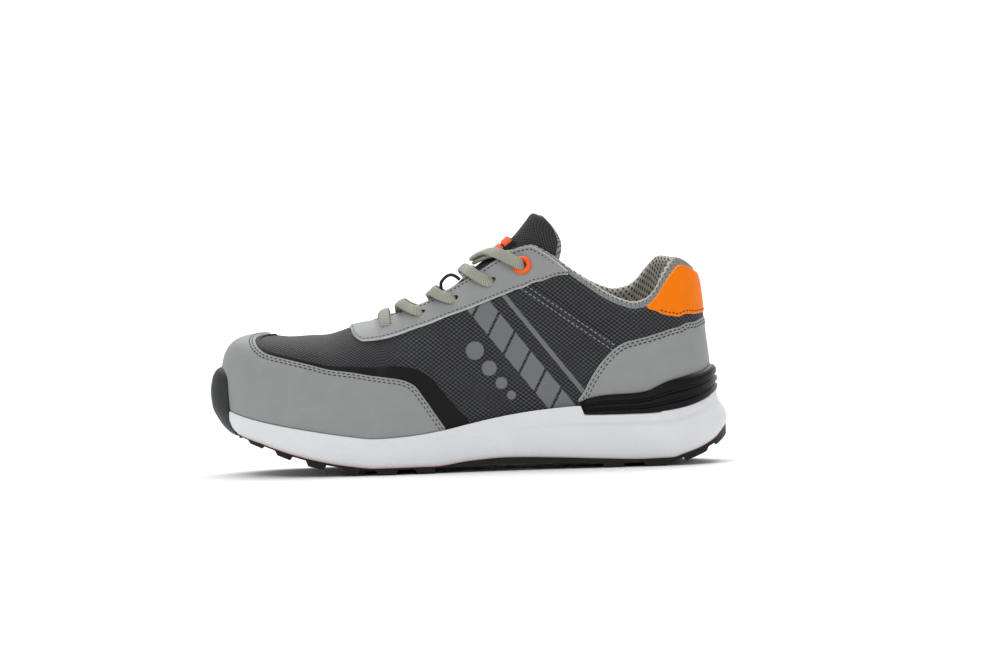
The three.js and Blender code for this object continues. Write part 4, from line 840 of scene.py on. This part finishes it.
def make_upper():
    u = all_round(460)[:, None]
    body = np.concatenate([np.linspace(0, 0.9, 72), np.linspace(0.908, 0.992, 12), [0.996, 1.0]])
    outer = offset_point(u, body, soft_form(u, body))
    lining = np.linspace(1, 0, 40)
    inner = offset_point(u, lining, wall_depth(u, lining))
    # the top edge rolls over from the outside to the lining, but not where the toe is closed
    rise = unit(upper_point(u[:, 0], 1.0) - upper_point(u[:, 0], 0.97))
    closed = is_closed(u[:, 0])
    middle = (outer[:, -1:] + inner[:, :1]) / 2
    side = (outer[:, -1:] - inner[:, :1]) / 2
    lift = rise[:, None] * np.linalg.norm(side, axis=-1, keepdims=True) * ~closed[:, None, None]
    bend = np.linspace(0, math.pi, 9)[1:-1, None]
    roll = middle + side * np.cos(bend) + lift * np.sin(bend)
    points = np.concatenate([outer, roll, inner], 1)
    outer_rows, roll_rows, inner_rows = outer.shape[1], roll.shape[1], inner.shape[1]
    # lengths across the shoe, from its top edge, and round it, for the weaves
    down = np.pad(np.cumsum(steps_of(outer, 1)[:, ::-1], 1)[:, ::-1], ((0, 0), (0, 1)))
    inside = np.pad(np.cumsum(steps_of(inner, 1), 1), ((0, 0), (1, 0)))
    before = -np.linalg.norm(roll - inner[:, :1], axis=-1)
    across = np.concatenate([down * np.where(u < 0, -1.0, 1.0), before, inside], 1)
    belt = outer[:, 30]
    around = np.cumsum(steps_of(np.concatenate([belt[-1:], belt]), 0))[:, None]
    front = np.where(past_seam(outer[..., 0], outer[..., 2]) < -7.2, 1.0, 0.0)
    front = np.pad(front, ((0, 0), (0, roll_rows + inner_rows)))
    # the collar's mesh edge is wider round the heel
    slot = np.zeros((len(u), points.shape[1] - 1), int)
    edge_width = 1.5 + 1.6 * smooth(0.86, 0.89, rib_at(u))
    slot[:, : outer_rows - 1] = (down[:, :-1] < edge_width) & (rib_at(u) > 0.66)
    slot[:, outer_rows - 1 : outer_rows + 1] = 1
    slot[:, outer_rows + 1 :] = 2
    keep = np.ones(slot.shape, bool)
    keep[:, outer_rows - 1 : outer_rows + roll_rows] = ~(closed & np.roll(closed, -1))[:, None]
    shape = Shape().grid(
        points, slot, closed=True, keep=keep,
        along=points[..., 0], across=across, front=front, round=around,
    )
    # turned-in hem under the foot
    shape.grid(points[:, [-1, 0]], 2, closed=True, round=around)
    made = shape.make("upper_fabric", [MAT["fabric"], MAT["collar_edge"], MAT["lining"]])
    place(made, "upper", "upper_mesh")


def edge_round(distance, radius=0.7):
    left = 1 - np.clip(distance / radius, 0, 1)
    return np.sqrt(np.maximum(1 - left * left, 0))


# Distances in from a panel's edge at which its rounded rim has a row
EDGE_STEPS = np.array([0, 0.04, 0.13, 0.28, 0.5, 0.72, 1.6])


def lay_panel(shape, stations, low, high, face, ends=(False, False), open_top=None):
    """Adds a panel to a shape: rounded at its edges, laid on the upper's face."""
    middle = offset_point(wrap(stations), (low + high) / 2)
    run = np.linalg.norm(np.gradient(middle, axis=0), axis=-1)
    speed = run / np.abs(np.gradient(stations))
    order = 1 if stations[-1] > stations[0] else -1
    u = stations
    if ends[0]:
        u = np.concatenate([u[0] + order * EDGE_STEPS / speed[0], u[1:]])
    if ends[1]:
        u = np.concatenate([u[:-1], u[-1] - order * EDGE_STEPS[::-1] / speed[-1]])
    u = np.unique(u)[::order]
    low, high, away = (
        np.interp(u, stations[::order], column[::order])
        for column in (low, high, np.cumsum(run) - run[0])
    )
    real = wrap(u)

    def lean(v):
        """Cosine of the slope of an edge at a share of each rib."""
        rise = np.gradient(v * rib_speed(real, np.full(u.shape, 0.5)))
        slope = rise / np.maximum(np.abs(np.gradient(away)), 1e-6)
        return (1 / np.sqrt(1 + slope**2))[:, None]

    reach = rib_speed(real, (low + high) / 2)[:, None]
    length = (high - low)[:, None] * reach
    lean_low, lean_high = lean(low), lean(high)
    first = np.minimum(EDGE_STEPS / lean_low, 0.48 * length)
    last = length - np.minimum(EDGE_STEPS / lean_high, 0.48 * length)[:, ::-1]
    share = np.linspace(0, 1, 26)[None, 1:-1]
    between = first[:, -1:] * (1 - share) + last[:, :1] * share
    rows = np.concatenate([first, between, last], 1)
    near_high = (length - rows) * lean_high
    if open_top is not None:
        near_high = np.where(open_top(real)[:, None], near_high, 99.0)
    near = np.minimum(rows * lean_low, near_high)
    if ends[0]:
        near = np.minimum(near, (away - away.min())[:, None])
    if ends[1]:
        near = np.minimum(near, (away.max() - away)[:, None])
    v = low[:, None] + rows / np.maximum(reach, 1e-6)
    points = offset_point(real[:, None], v, face * edge_round(near))
    return shape.grid(points, flip=order > 0, edge=near)


def edge_curve(u, v, inward, side, lift):
    """A line so far inside the edge v(u) of a panel: side is 1 for an upper edge."""
    real = wrap(u)
    edge = offset_point(real, v)
    normal = upper_normal(real, v)
    into = unit(np.cross(normal, unit(np.gradient(edge, axis=0))))
    rib = upper_point(real, v + 0.01) - upper_point(real, v - 0.01)
    turn = np.sign(np.sum(into * rib, -1, keepdims=True))
    return edge - into * turn * side * inward + normal * lift, normal


def sew(shape, points, normals, pitch=2.9, length=1.9):
    """Adds a row of stitches along a line."""
    width, height = 0.7, 0.36
    run = np.concatenate([[0], np.cumsum(steps_of(points, 0))])
    marks = np.arange(0, run[-1], pitch)
    if len(marks) < 3:
        return
    centres, faces = (
        np.stack([np.interp(marks, run, a[:, k]) for k in range(3)], -1) for a in (points, normals)
    )
    along = unit(np.gradient(centres, axis=0))
    across = unit(np.cross(faces, along))
    ring = np.linspace(0, 2 * math.pi, 6, endpoint=False)[:, None]
    for c, a, b, n in zip(centres, along, across, unit(faces)):
        rows = [
            c
            + a * (place * length)
            + b * (np.cos(ring) * size * width / 2)
            + n * (np.sin(ring) * size * height / 2 - place**2 * 0.5)
            for place, size in ((-0.5, 0.35), (-0.36, 1), (0.36, 1), (0.5, 0.35))
        ]
        loops = np.stack(rows, 1)
        shape.grid(loops, closed=True)
        for end in (0, -1):
            square = loops[[[0, 1, 2], [5, 4, 3]], end]
            shape.grid(square, flip=end == -1)


def rim_share(u):
    return up_at(u, rim_height(foot_point(u)[..., 0]) - 0.4)


def clip_low(u):
    return foot_plane(foot_point(u)[..., 0]) + CLIP_HEIGHT * CLIP("low", rib_at(u))


def clip_high(u):
    return foot_plane(foot_point(u)[..., 0]) + CLIP_HEIGHT * CLIP("high", rib_at(u))


def make_panels():
    dark, grey = Shape(), Shape()
    on_face = OVERLAY_FACE + 0.02
    short = {"pitch": 2.5, "length": 1.5}
    double = (1.6, 3.3)  # two rows of stitches, so far inside an edge

    def panel(name, material, node, slot, u, low, high, face=OVERLAY_FACE, ends=(False, False)):
        shape = lay_panel(Shape(), u, low, np.maximum(high, low), face, ends)
        place(shape.make(name, [MAT[material]]), node, slot)

    # toe panel
    end = rib_of(TOE_PANEL.end)
    u = np.linspace(end, -end, 420)
    low = rim_share(u)
    high = np.maximum(TOE_PANEL("high", rib_at(u)), low)
    panel("toe_panel_leather", "grey", "toe_panel", "panel_grey", u, low, high)
    for inward in double:
        sew(dark, *edge_curve(u, high, inward, 1, on_face))
    # band behind it
    u = np.linspace(0.5, -0.5, 420)
    seam = np.where(np.abs(u) < end, TOE_PANEL("high", rib_at(u)) - 0.012, 0)
    low, high = np.maximum(seam, rim_share(u)), TOE_TRIM("high", rib_at(u))
    panel("toe_trim_film", "film", "toe_trim", "trim_film", u, low, high, TRIM_FACE)
    # eyestay
    shape = Shape()
    for side in (1, -1):
        u = np.linspace(rib_of(EYESTAY.end), rib_of(EYESTAY.start), 330) * side
        low, high = EYESTAY("low", rib_at(u)), np.ones(u.shape)
        lay_panel(shape, u, low, high, OVERLAY_FACE, (True, True), lambda w: ~is_closed(w))
        sew(dark, *edge_curve(u, low, 1.45, -1, on_face), **short)
        u = u[~is_closed(u)]
        sew(dark, *edge_curve(u, np.full(u.shape, 0.999), 1.9, 1, on_face + 0.1), **short)
    made = shape.make("eyestay_leather", [MAT["grey"]])
    cut_holes(made)
    place(made, "eyestay", "panel_grey")
    # counter
    start = rib_of(COUNTER.start)
    u = np.linspace(-start, start - 2, 330)
    real = wrap(u)
    rim = rim_height(foot_point(real)[..., 0])
    low = up_at(real, np.maximum(rim, clip_high(real)) - 0.6)
    high = np.maximum(COUNTER("high", rib_at(real)), low)
    panel("heel_counter_leather", "grey", "heel_counter", "panel_grey", u, low, high)
    for inward in double:
        sew(dark, *edge_curve(u, high, inward, 1, on_face))
    # tab
    start = rib_of(HEEL_TAB.start)
    u = np.linspace(-start, start - 2, 200)
    low, high = (HEEL_TAB(name, rib_at(wrap(u))) for name in ("low", "high"))
    panel("heel_tab_leather", "orange", "heel_tab", "tab_orange", u, low, high, ends=(True, True))
    sew(dark, *edge_curve(u[12:-12], low[12:-12], 2.0, -1, OVERLAY_FACE + 0.3), **short)
    # quarter seam
    for side in (-1, 1):
        for behind in (-2.0, -5.0):
            sew(grey, *seam_line(side, behind), pitch=3.0, length=2.0)
    place(dark.make("panel_stitches", [MAT["dark_thread"]], weld=0), None, "panel_grey")
    place(grey.make("quarter_stitches", [MAT["grey_thread"]], weld=0), None, "upper_mesh")


def seam_line(side, behind):
    """Points of the upper at a distance from the quarter's seam."""
    points, normals = [], []
    v = np.linspace(0.2, 1, 200)
    for at in np.linspace(0.6, 0.83, 120):
        u = side * rib_of(at)
        p = offset_point(u, v)
        gap = past_seam(p[:, 0], p[:, 2]) - behind
        crossed = np.nonzero(gap[:-1] * gap[1:] <= 0)[0]
        if len(crossed) == 0:
            continue
        k = crossed[0]
        up = v[k] + (v[k + 1] - v[k]) * gap[k] / (gap[k] - gap[k + 1])
        low = COUNTER("high", at) if at > COUNTER.start else 0.0
        top = EYESTAY("low", at) if at < EYESTAY.end else 1.0
        if low < up < top:
            points.append(offset_point(u, up, soft_form(u, up) + 0.12))
            normals.append(upper_normal(u, up))
    return np.array(points), np.array(normals)


def frame_at(u, v, offset):
    """A place on the upper with its way along the ribs, its normal and the way across."""
    normal = upper_normal(u, v)
    along = unit(upper_point(u + 0.003, v) - upper_point(u - 0.003, v))
    across = unit(np.cross(along, normal))
    return offset_point(u, v, offset), along, normal, across


def cut_holes(piece):
    """Cuts the lace holes out of the eyestay."""
    cutters = Shape()
    turn = np.linspace(0, 2 * math.pi, 28, endpoint=False)[:, None]
    for side in (-1, 1):
        for at, up in LACE_HOLES:
            long, wide = LACE_HOLE_LONG, LACE_HOLE_WIDE
            if (at, up) == LACE_HOLES[-1]:
                long = wide = EYELET_BORE
            spot, along, normal, across = frame_at(side * rib_of(at), up, 0)
            ring = spot + along * np.cos(turn) * long / 2 + across * np.sin(turn) * wide / 2
            hub, deep = np.broadcast_to(spot, ring.shape), normal * 5
            rows = [hub - deep, ring - deep, ring + deep, hub + deep]
            cutters.grid(np.stack(rows, 1), closed=True)
    cutter = cutters.make("hole_cutters", [MAT["film"]])
    bm = bmesh.new()
    bm.from_mesh(cutter.data)
    bmesh.ops.recalc_face_normals(bm, faces=bm.faces)
    bm.to_mesh(cutter.data)
    bm.free()
    solid = piece.modifiers.new("thickness", "SOLIDIFY")
    solid.thickness, solid.offset = 0.0012, -1
    cut = piece.modifiers.new("holes", "BOOLEAN")
    cut.operation, cut.object, cut.solver = "DIFFERENCE", cutter, "EXACT"
    bpy.context.view_layer.update()
    graph = bpy.context.evaluated_depsgraph_get()
    done = bpy.data.meshes.new_from_object(piece.evaluated_get(graph))
    piece.modifiers.clear()
    piece.data = done
    bpy.data.objects.remove(cutter)


def make_sole():
    u = all_round(440)
    levels = np.concatenate(
        [np.linspace(0, 0.12, 5), np.linspace(0.16, 0.6, 8), [0.63, 0.66, 0.68, 0.7],
         np.linspace(0.74, 0.98, 6), [0.99, 1.0]]
    )
    inner = rim_height(foot_point(u)[..., 0])
    # the heel clip sits on a ledge cut into the rim
    ground = sole_height(foot_point(u)[..., 0])
    ledge = (clip_low(u) + 0.3 - ground) / (inner - ground)
    cut = np.where(rib_at(u) > CLIP.start + 0.0005, np.minimum(ledge, 1), 1.0)
    rows = [on_foot(u, lambda x: sole_height(x) - 0.25, stand_out(0, u) - 1.0)]
    for level in levels:
        kept = np.minimum(level, cut)
        p = on_foot(u, sole_height, stand_out(kept, u))
        p[:, 2] = p[:, 2] * (1 - kept) + inner * kept
        rows.append(p)
    # rounded lip that meets the upper
    rim = rows[-1][:, 2].copy()
    rows[-1][:, 2] -= 0.12
    for inward, drop in ((0.25, 0.35), (0.75, 0.75), (1.6, 0.9), (4.6, 1.2)):
        rows.append(np.column_stack([foot_point(u, stand_out(cut, u) - inward), rim - drop]))
    shape = Shape().grid(np.stack(rows, 1), closed=True)
    fill_ring(shape, rows[0], flip=True)
    # footbed under the insole
    fill_ring(shape, on_foot(u, lambda x: foot_plane(x) - 0.2, 1.0))
    place(shape.make("midsole_foam", [MAT["foam"]]), "midsole", "midsole_foam")
    # bonding line between midsole and outsole
    side = stand_out(0, u) + 0.12
    line = [on_foot(u, lambda x: sole_height(x) + lift, side) for lift in (-0.45, 0.05)]
    bond = Shape().grid(np.stack(line, 1), closed=True).make("sole_bond", [MAT["pink"]])
    place(bond, None, "midsole_foam")


def fill_ring(shape, ring, flip=False, count=9, **values):
    """Fills a ring of stations with lines from one half of it to the other."""
    half = len(ring) // 2
    a, b = ring[: half + 1, None], ring[(-np.arange(half + 1)) % len(ring), None]
    share = np.linspace(0, 1, count)[:, None]
    shape.grid(a * (1 - share) + b * share, flip=flip, **values)


def spans(rows):
    """Starts and ends in millimetres of stretches given as shares of the shoe's length."""
    return [((start - 0.5) * SHOE_LENGTH, (end - 0.5) * SHOE_LENGTH) for start, end in rows]


def make_tread(shape):
    u = all_round(1600)
    ring = foot_point(u, stand_out(0, u))
    medial, lateral = (half[np.argsort(half[:, 0])] for half in (ring[u >= 0], ring[u <= 0]))
    low_x, high_x = ring[:, 0].min() + 0.01, ring[:, 0].max() - 0.01
    turn = np.linspace(0, math.pi, 260)
    x = (low_x + high_x) / 2 - np.cos(turn) * (high_x - low_x) / 2
    slope = LUG_DRAFT
    marks = [
        edge
        for start, end in spans(GROOVES)
        for edge in (start - slope - 0.4, start - slope, start, end, end + slope, end + slope + 0.4)
    ]
    x = np.unique(np.concatenate([x, np.clip(marks, low_x, high_x)]))
    x = x[np.concatenate([[True], np.diff(x) > 0.02])]
    depth = np.zeros(len(x))
    for start, end in spans(GROOVES):
        inside = np.minimum(x - (start - slope), end + slope - x) / slope
        depth = np.maximum(depth, np.clip(inside, 0, 1))
    low, high = (np.interp(x, side[:, 0], side[:, 1])[:, None] for side in (lateral, medial))
    half = CENTRE_GROOVE / 2
    offsets = np.array([-half - slope, -half, half, half + slope])
    inner = np.clip(centre_y(last_at(x))[:, None] + offsets, low + 0.2, high - 0.2)
    first, last = inner[:, :1], inner[:, -1:]
    columns = [
        low, low + np.minimum(0.5, (first - low) * 0.3), (low + first) / 2, inner,
        (high + last) / 2, high - np.minimum(0.5, (high - last) * 0.3), high,
    ]
    y = np.concatenate(columns, 1)
    deep = np.zeros(y.shape)
    for start, end in spans(CENTRE_GROOVES):
        deep[(x > start) & (x < end), 4:6] = 1
    deep = np.maximum(deep, depth[:, None])
    z = tread_height(x)[:, None] * (1 - deep) + web_height(x)[:, None] * deep
    z[:, [0, -1]] += 0.35 * (1 - deep[:, [0, -1]])
    bottom = np.stack([np.broadcast_to(x[:, None], y.shape), y, z], -1)
    shape.grid(bottom)
    roof = bottom.copy()
    roof[..., 2] = (sole_height(x) - 0.3)[:, None]
    share = np.linspace(0, 1, 4)[:, None]
    for column in (0, -1):
        wall = bottom[:, column, None] * (1 - share) + roof[:, column, None] * share
        shape.grid(wall, flip=column == 0)
    shape.grid(roof[:, [0, -1]], flip=True)
    for row in (0, -1):
        shape.grid(np.stack([bottom[row], roof[row]], 0), flip=row == 0)


def make_bumper(shape):
    u = np.linspace(BUMPER_HALF, -BUMPER_HALF, 90)
    rise = np.concatenate([np.linspace(0, 0.9, 36), np.linspace(0.91, 1, 12)])
    end = np.abs(u / BUMPER_HALF)[:, None]
    reach = BUMPER_FACE("reach", rise)[None]
    out = reach * TOE_REACH * np.where(reach > 0, 1 - BUMPER_THINNING * end**3, 1)
    out = np.where(rise > 0.985, out - 0.35 * (rise - 0.985) / 0.015, out)
    z = TOE_SPRING + (BUMPER_TOP - BUMPER_DROP * end**3 - TOE_SPRING) * rise[None]
    face = np.concatenate([foot_point(u[:, None], out), z[..., None]], -1)
    shape.grid(face)
    # its top edge and ends turn in to the upper
    wall = offset_point(u, up_at(u, z[:, -1]), OVERLAY_FACE - 0.3)
    share = np.linspace(0, 1, 5)[:, None]
    shape.grid(face[:, -1:] * (1 - share) + wall[:, None] * share)
    for row in (0, -1):
        toe = foot_point(np.full(len(rise), u[row]), -3.0)
        back = np.column_stack([toe, face[row][:, 2]])
        shape.grid(np.stack([face[row], back], 0), flip=row == 0)


def make_outsole():
    shape = Shape()
    make_tread(shape)
    make_bumper(shape)
    made = shape.make("outsole_rubber", [MAT["rubber"]], flat_angle=38)
    place(made, "outsole", "outsole_rubber")


def make_clip():
    start = rib_of(CLIP.start)
    u = np.linspace(-start, start - 2, 260)
    real = wrap(u)
    levels = np.unique(np.concatenate([np.linspace(0, 1, 40), CLIP_FACE.columns["level"]]))
    z = clip_low(real)[:, None] * (1 - levels) + clip_high(real)[:, None] * levels
    wide = np.broadcast_to(real[:, None], z.shape)
    back = upper_point(wide, up_at(wide, z))
    back[..., 2] = z
    away = np.pad(foot_point(real, 1.0) - foot_point(real), ((0, 0), (0, 1)))[:, None]
    proud = CLIP_PROUD * CLIP("proud", rib_at(real))[:, None] * CLIP_FACE("out", levels)[None]
    # both ends are rounded down to the upper
    ends = np.minimum(u[0] - u, u - u[-1]) / (u[0] - u[-1])
    proud = 0.4 + (proud - 0.4) * edge_round(ends, 0.012)[:, None]
    out = back + away * proud[..., None]
    shape = Shape().grid(np.concatenate([back[:, :1], out, back[:, -1:]], 1))
    made = shape.make("heel_clip_moulding", [MAT["clip"]], flat_angle=50)
    place(made, "heel_clip", "clip_plastic")


def make_insole():
    u = all_round(240)
    rows = [
        on_foot(u, lambda x: foot_plane(x) + lift, -inward)
        for inward, lift in ((2.4, 0.4), (2.35, 3.2), (2.7, 4.1), (3.6, 4.5))
    ]
    shape = Shape().grid(np.stack(rows, 1), closed=True)
    fill_ring(shape, rows[-1], count=24)
    place(shape.make("insole_cover", [MAT["insole"]]), "insole", "insole_fabric")


# Tongue, label and laces

def tongue_up(t):
    def spot(k):
        k = np.clip(k, 0, 1)
        return np.stack([last_x(TONGUE("crest", k)), 0 * k, TONGUE_HEIGHT * TONGUE("top", k)], -1)

    along = unit(spot(t + 0.02) - spot(t - 0.02))
    return np.stack([-along[..., 2], 0 * along[..., 0], along[..., 0]], -1)


def tongue_point(t, s, lift=0.0):
    t, s, lift = np.broadcast_arrays(*(np.asarray(k, float) for k in (t, s, lift)))
    fall = np.abs(s) ** TONGUE_ROUNDNESS
    x = last_x(TONGUE("crest", t)) * (1 - fall) + last_x(TONGUE("edge", t)) * fall
    z = TONGUE_HEIGHT * (TONGUE("top", t) * (1 - fall) + TONGUE("edgeTop", t) * fall)
    y = centre_y(TONGUE("crest", t)) + s * BALL_WIDTH * TONGUE("half", t)
    return np.stack([x, y, z], -1) + tongue_up(t) * lift[..., None]


def make_tongue():
    t = np.concatenate([np.linspace(0, 0.9, 70), np.linspace(0.91, 1, 24)])
    turn = np.linspace(0, 2 * math.pi, 72, endpoint=False)
    cos, sin = np.cos(turn)[:, None], np.sin(turn)[:, None]
    s = np.sign(cos) * np.abs(cos) ** 0.6
    thick = TONGUE_PADDING * TONGUE("pad", t) * (1 - TONGUE_THINNING * np.abs(s) ** 3)
    tip = np.sqrt(np.clip((1.004 - t) / 0.03, 0, 1))
    lift = thick * (-0.5 + 0.5 * np.sign(sin) * np.abs(sin) ** 0.55 * tip)
    # a stitched trough inside the rim of the upper half
    trough = 0.35 * np.exp(-((s**2 - 0.55) / 0.02) ** 2) * (t > 0.5) * (sin > 0)
    points = tongue_point(t, s * 0.985, lift - trough)
    around = np.linalg.norm(np.diff(points, axis=0, prepend=points[-1:]), axis=-1)
    slot = np.zeros((len(turn), len(t) - 1), int)
    rim = np.abs(np.roll(s, -1) + s)[:, 0] / 2 > TONGUE_RIM
    slot[rim] = t[:-1] > 0.55
    slot[:, t[:-1] > 0.985] = 1
    shape = Shape().grid(
        points, slot, closed=True, flip=True,
        along=TONGUE_HEIGHT * t, across=np.cumsum(around, 0),
    )
    end = points[:, -1:]
    cap = np.concatenate([end, np.broadcast_to(end.mean(0), end[:, 0].shape)[:, None]], 1)
    shape.grid(cap, 1, closed=True, flip=True)
    made = shape.make("tongue_fabric", [MAT["tongue"], MAT["collar_edge"]])
    place(made, "tongue", "tongue_fabric")


def pad_on_tongue(shape, t0, t1, s0, s1, low, high, round_by, slot=0):
    """A block with rounded edges laid on the tongue."""
    t, s = np.meshgrid(np.linspace(t0, t1, 22), np.linspace(s0, s1, 22), indexing="ij")
    length = np.linalg.norm(tongue_point(t1, 0) - tongue_point(t0, 0))
    width = (s1 - s0) * BALL_WIDTH * 0.178
    from_end = np.minimum(t - t0, t1 - t) / (t1 - t0) * length
    from_side = np.minimum(s - s0, s1 - s) / (s1 - s0) * width
    lift = low + (high - low) * edge_round(np.minimum(from_end, from_side), round_by)
    shape.grid(tongue_point(t, s, lift), slot)


def make_label():
    shape = Shape()
    pad_on_tongue(shape, 0.56, 0.7, -0.42, 0.42, 0.2, 2.0, 0.8)
    for t0, t1 in ((0.569, 0.626), (0.634, 0.691)):
        for s0, s1 in ((-0.36, -0.02), (0.02, 0.36)):
            pad_on_tongue(shape, t0, t1, s0, s1, 1.7, 3.0, 0.35, 1)
    made = shape.make("tongue_label_rubber", [MAT["label"], MAT["tile"]], weld=0)
    place(made, "tongue_label", "label_rubber")


def spline(points, count):
    """Uniform Catmull-Rom curve through points, with so many places along it."""
    p = np.asarray(points, float)
    padded = np.concatenate([2 * p[:1] - p[1:2], p, 2 * p[-1:] - p[-2:-1]])
    t = np.linspace(0, len(p) - 1, count)
    i = np.minimum(t.astype(int), len(p) - 2)
    f = (t - i)[:, None]
    a, b, c, d = (padded[i + k] for k in range(4))
    square, cube = 2 * a - 5 * b + 4 * c - d, 3 * b - a - 3 * c + d
    return 0.5 * (2 * b + (c - a) * f + square * f**2 + cube * f**3)


def strap(shape, rows, width=LACE_WIDTH, thickness=LACE_THICKNESS, count=70, plump=2.6):
    """A flat cord swept through rows of a place and the way that its face turns there."""
    path = spline([place for place, _ in rows], count)
    up = unit(spline([face for _, face in rows], count))
    along = unit(np.gradient(path, axis=0))
    side = unit(np.cross(up, along))
    up = unit(np.cross(along, side))
    turn = np.linspace(0, 2 * math.pi, 20, endpoint=False)[:, None]
    a, b = (
        np.sign(wave) * np.abs(wave) ** (2 / plump) * size / 2
        for wave, size in ((np.cos(turn), width), (np.sin(turn), thickness))
    )
    length = np.concatenate([[0], np.cumsum(steps_of(path, 0))])
    loops = path + side * a[..., None] + up * b[..., None]
    shape.grid(loops, closed=True, along=length, across=a)
    for end in (0, -1):
        fill_ring(shape, loops[:, end], flip=end == 0, count=2, along=0.0, across=0.0)


def over_tongue(at, across, lift):
    """A place over the tongue where its crest passes a share of the last, and its face."""
    low, high = 0.0, 1.0
    for _ in range(24):
        middle = (low + high) / 2
        if tongue_point(middle, 0)[0] < last_x(at):
            low = middle
        else:
            high = middle
    half = BALL_WIDTH * TONGUE("half", low)
    return tongue_point(low, across / half, lift), tongue_up(np.array(low))


LACE_LIFT = LACE_THICKNESS / 2 + CLEARANCE


def lace_pass(side, hole, edge, middle, raised, hump):
    """Rows of a pass from its hole over the throat's edge and the tongue to the far edge."""
    near_at, near_up = LACE_HOLES[hole]
    far_at = LACE_HOLES[hole - 1][0] + LACE_BEHIND
    seat = EYELET_SEAT + EYELET_RISE if hole == len(LACE_HOLES) - 1 else 0
    throat = half_width(far_at) * TOP_LINE("gap", far_at)

    def spot(at, up, offset, lift=0.0):
        u = side * rib_of(at)
        p = offset_point(u, up, OVERLAY_FACE + LACE_LIFT + offset)
        return p + np.array([0, 0, lift]), upper_normal(u, up)

    def over(at, across, lift):
        return over_tongue(at, across, LACE_LIFT + lift)

    return [
        spot(near_at + 0.002, near_up, -6.0),
        spot(near_at + 0.001, near_up, -3.0),
        spot(near_at - 0.006, near_up + 0.004, seat - 0.1),
        spot(near_at - edge / 2 - 0.003, (near_up + 1) / 2, seat / 2 + LACE_SLACK),
        spot(near_at - edge, THROAT_EDGE, LACE_SLACK, 2 * LACE_SLACK),
        over((near_at - edge + middle) / 2, side * throat / 2, raised + hump),
        over(middle, 0, raised + LACE_SLACK / 2),
        over((far_at + middle) / 2, -side * throat / 2, LACE_SLACK),
        over(far_at, -side * (throat - LACE_STOP), LACE_SLACK / 2),
    ]


def make_laces():
    for i, (hole, edge, middle, hump) in enumerate(LACE_PASSES, 1):
        shape = Shape()
        for side, raised in ((-1, LACE_THICKNESS), (1, 0.0)):
            strap(shape, lace_pass(side, hole, edge, middle, raised, hump))
        made = shape.make(f"lace_pass_{i}", [MAT["lace"]], weld=0)
        place(made, f"lace_cross_{i}", "lace_fabric")
    # the bar at the lowest holes
    at, up = LACE_HOLES[0]
    on_edge = OVERLAY_FACE + LACE_LIFT + LACE_SLACK
    lateral, medial = (
        [
            (offset_point(u, up - 0.03, OVERLAY_FACE - 4.0), upper_normal(u, up)),
            (offset_point(u, up, OVERLAY_FACE + 0.8), upper_normal(u, up)),
            (offset_point(u, THROAT_EDGE, on_edge), upper_normal(u, THROAT_EDGE)),
        ]
        for u in (-rib_of(at), rib_of(at))
    )
    top = over_tongue(at, 0, LACE_LIFT + 2 * LACE_THICKNESS - 1)
    shape = Shape()
    strap(shape, [*lateral, top, *medial[::-1]])
    place(shape.make("lace_bar_cord", [MAT["lace"]], weld=0), "lace_bar", "lace_fabric")


def make_keeper():
    rows = [
        (over_tongue(at, 0, lift)[0], (along, 0, up))
        for at, lift, along, up in (
            (0.458, 0.4, -1, 0), (0.459, 3.0, -1, 0.1), (0.464, 5.8, -0.8, 0.6),
            (0.472, 6.9, -0.3, 1), (0.482, 7.0, 0.3, 1), (0.489, 5.6, 0.9, 0.5),
            (0.492, 3.0, 1, 0), (0.493, 0.4, 1, 0),
        )
    ]
    shape = Shape()
    strap(shape, rows, 4.0, 1.9, count=60, plump=3)
    made = shape.make("lace_keeper_webbing", [MAT["webbing"]], weld=0)
    place(made, "lace_keeper", "keeper_webbing")


def make_eyelets():
    at, up = LACE_HOLES[-1]
    bore, rim = EYELET_BORE / 2, EYELET_WIDTH / 2
    wide = (rim - bore) / 2
    crown = [
        (bore + wide - math.cos(a) * wide, math.sin(a) * EYELET_RISE * 0.9 + 0.1)
        for a in np.linspace(0, math.pi, 14)
    ]
    profile = [(bore, -2.2), *crown, (rim, -0.9)]
    turn = np.linspace(0, 2 * math.pi, 56, endpoint=False)[:, None]
    for side, name in ((-1, "lateral"), (1, "medial")):
        spot, along, normal, across = frame_at(side * rib_of(at), up, OVERLAY_FACE + 0.3)
        around = along * np.cos(turn) + across * np.sin(turn)
        rows = np.stack([spot + around * r + normal * h for r, h in profile], 1)
        made = Shape().grid(rows, closed=True).make(f"eyelet_ring_{name}", [MAT["eyelet"]])
        place(made, f"eyelet_{name}", "eyelet_plastic")


make_tongue()
make_label()
make_laces()
make_keeper()
make_eyelets()
make_upper()
make_panels()
make_sole()
make_outsole()
make_clip()
make_insole()
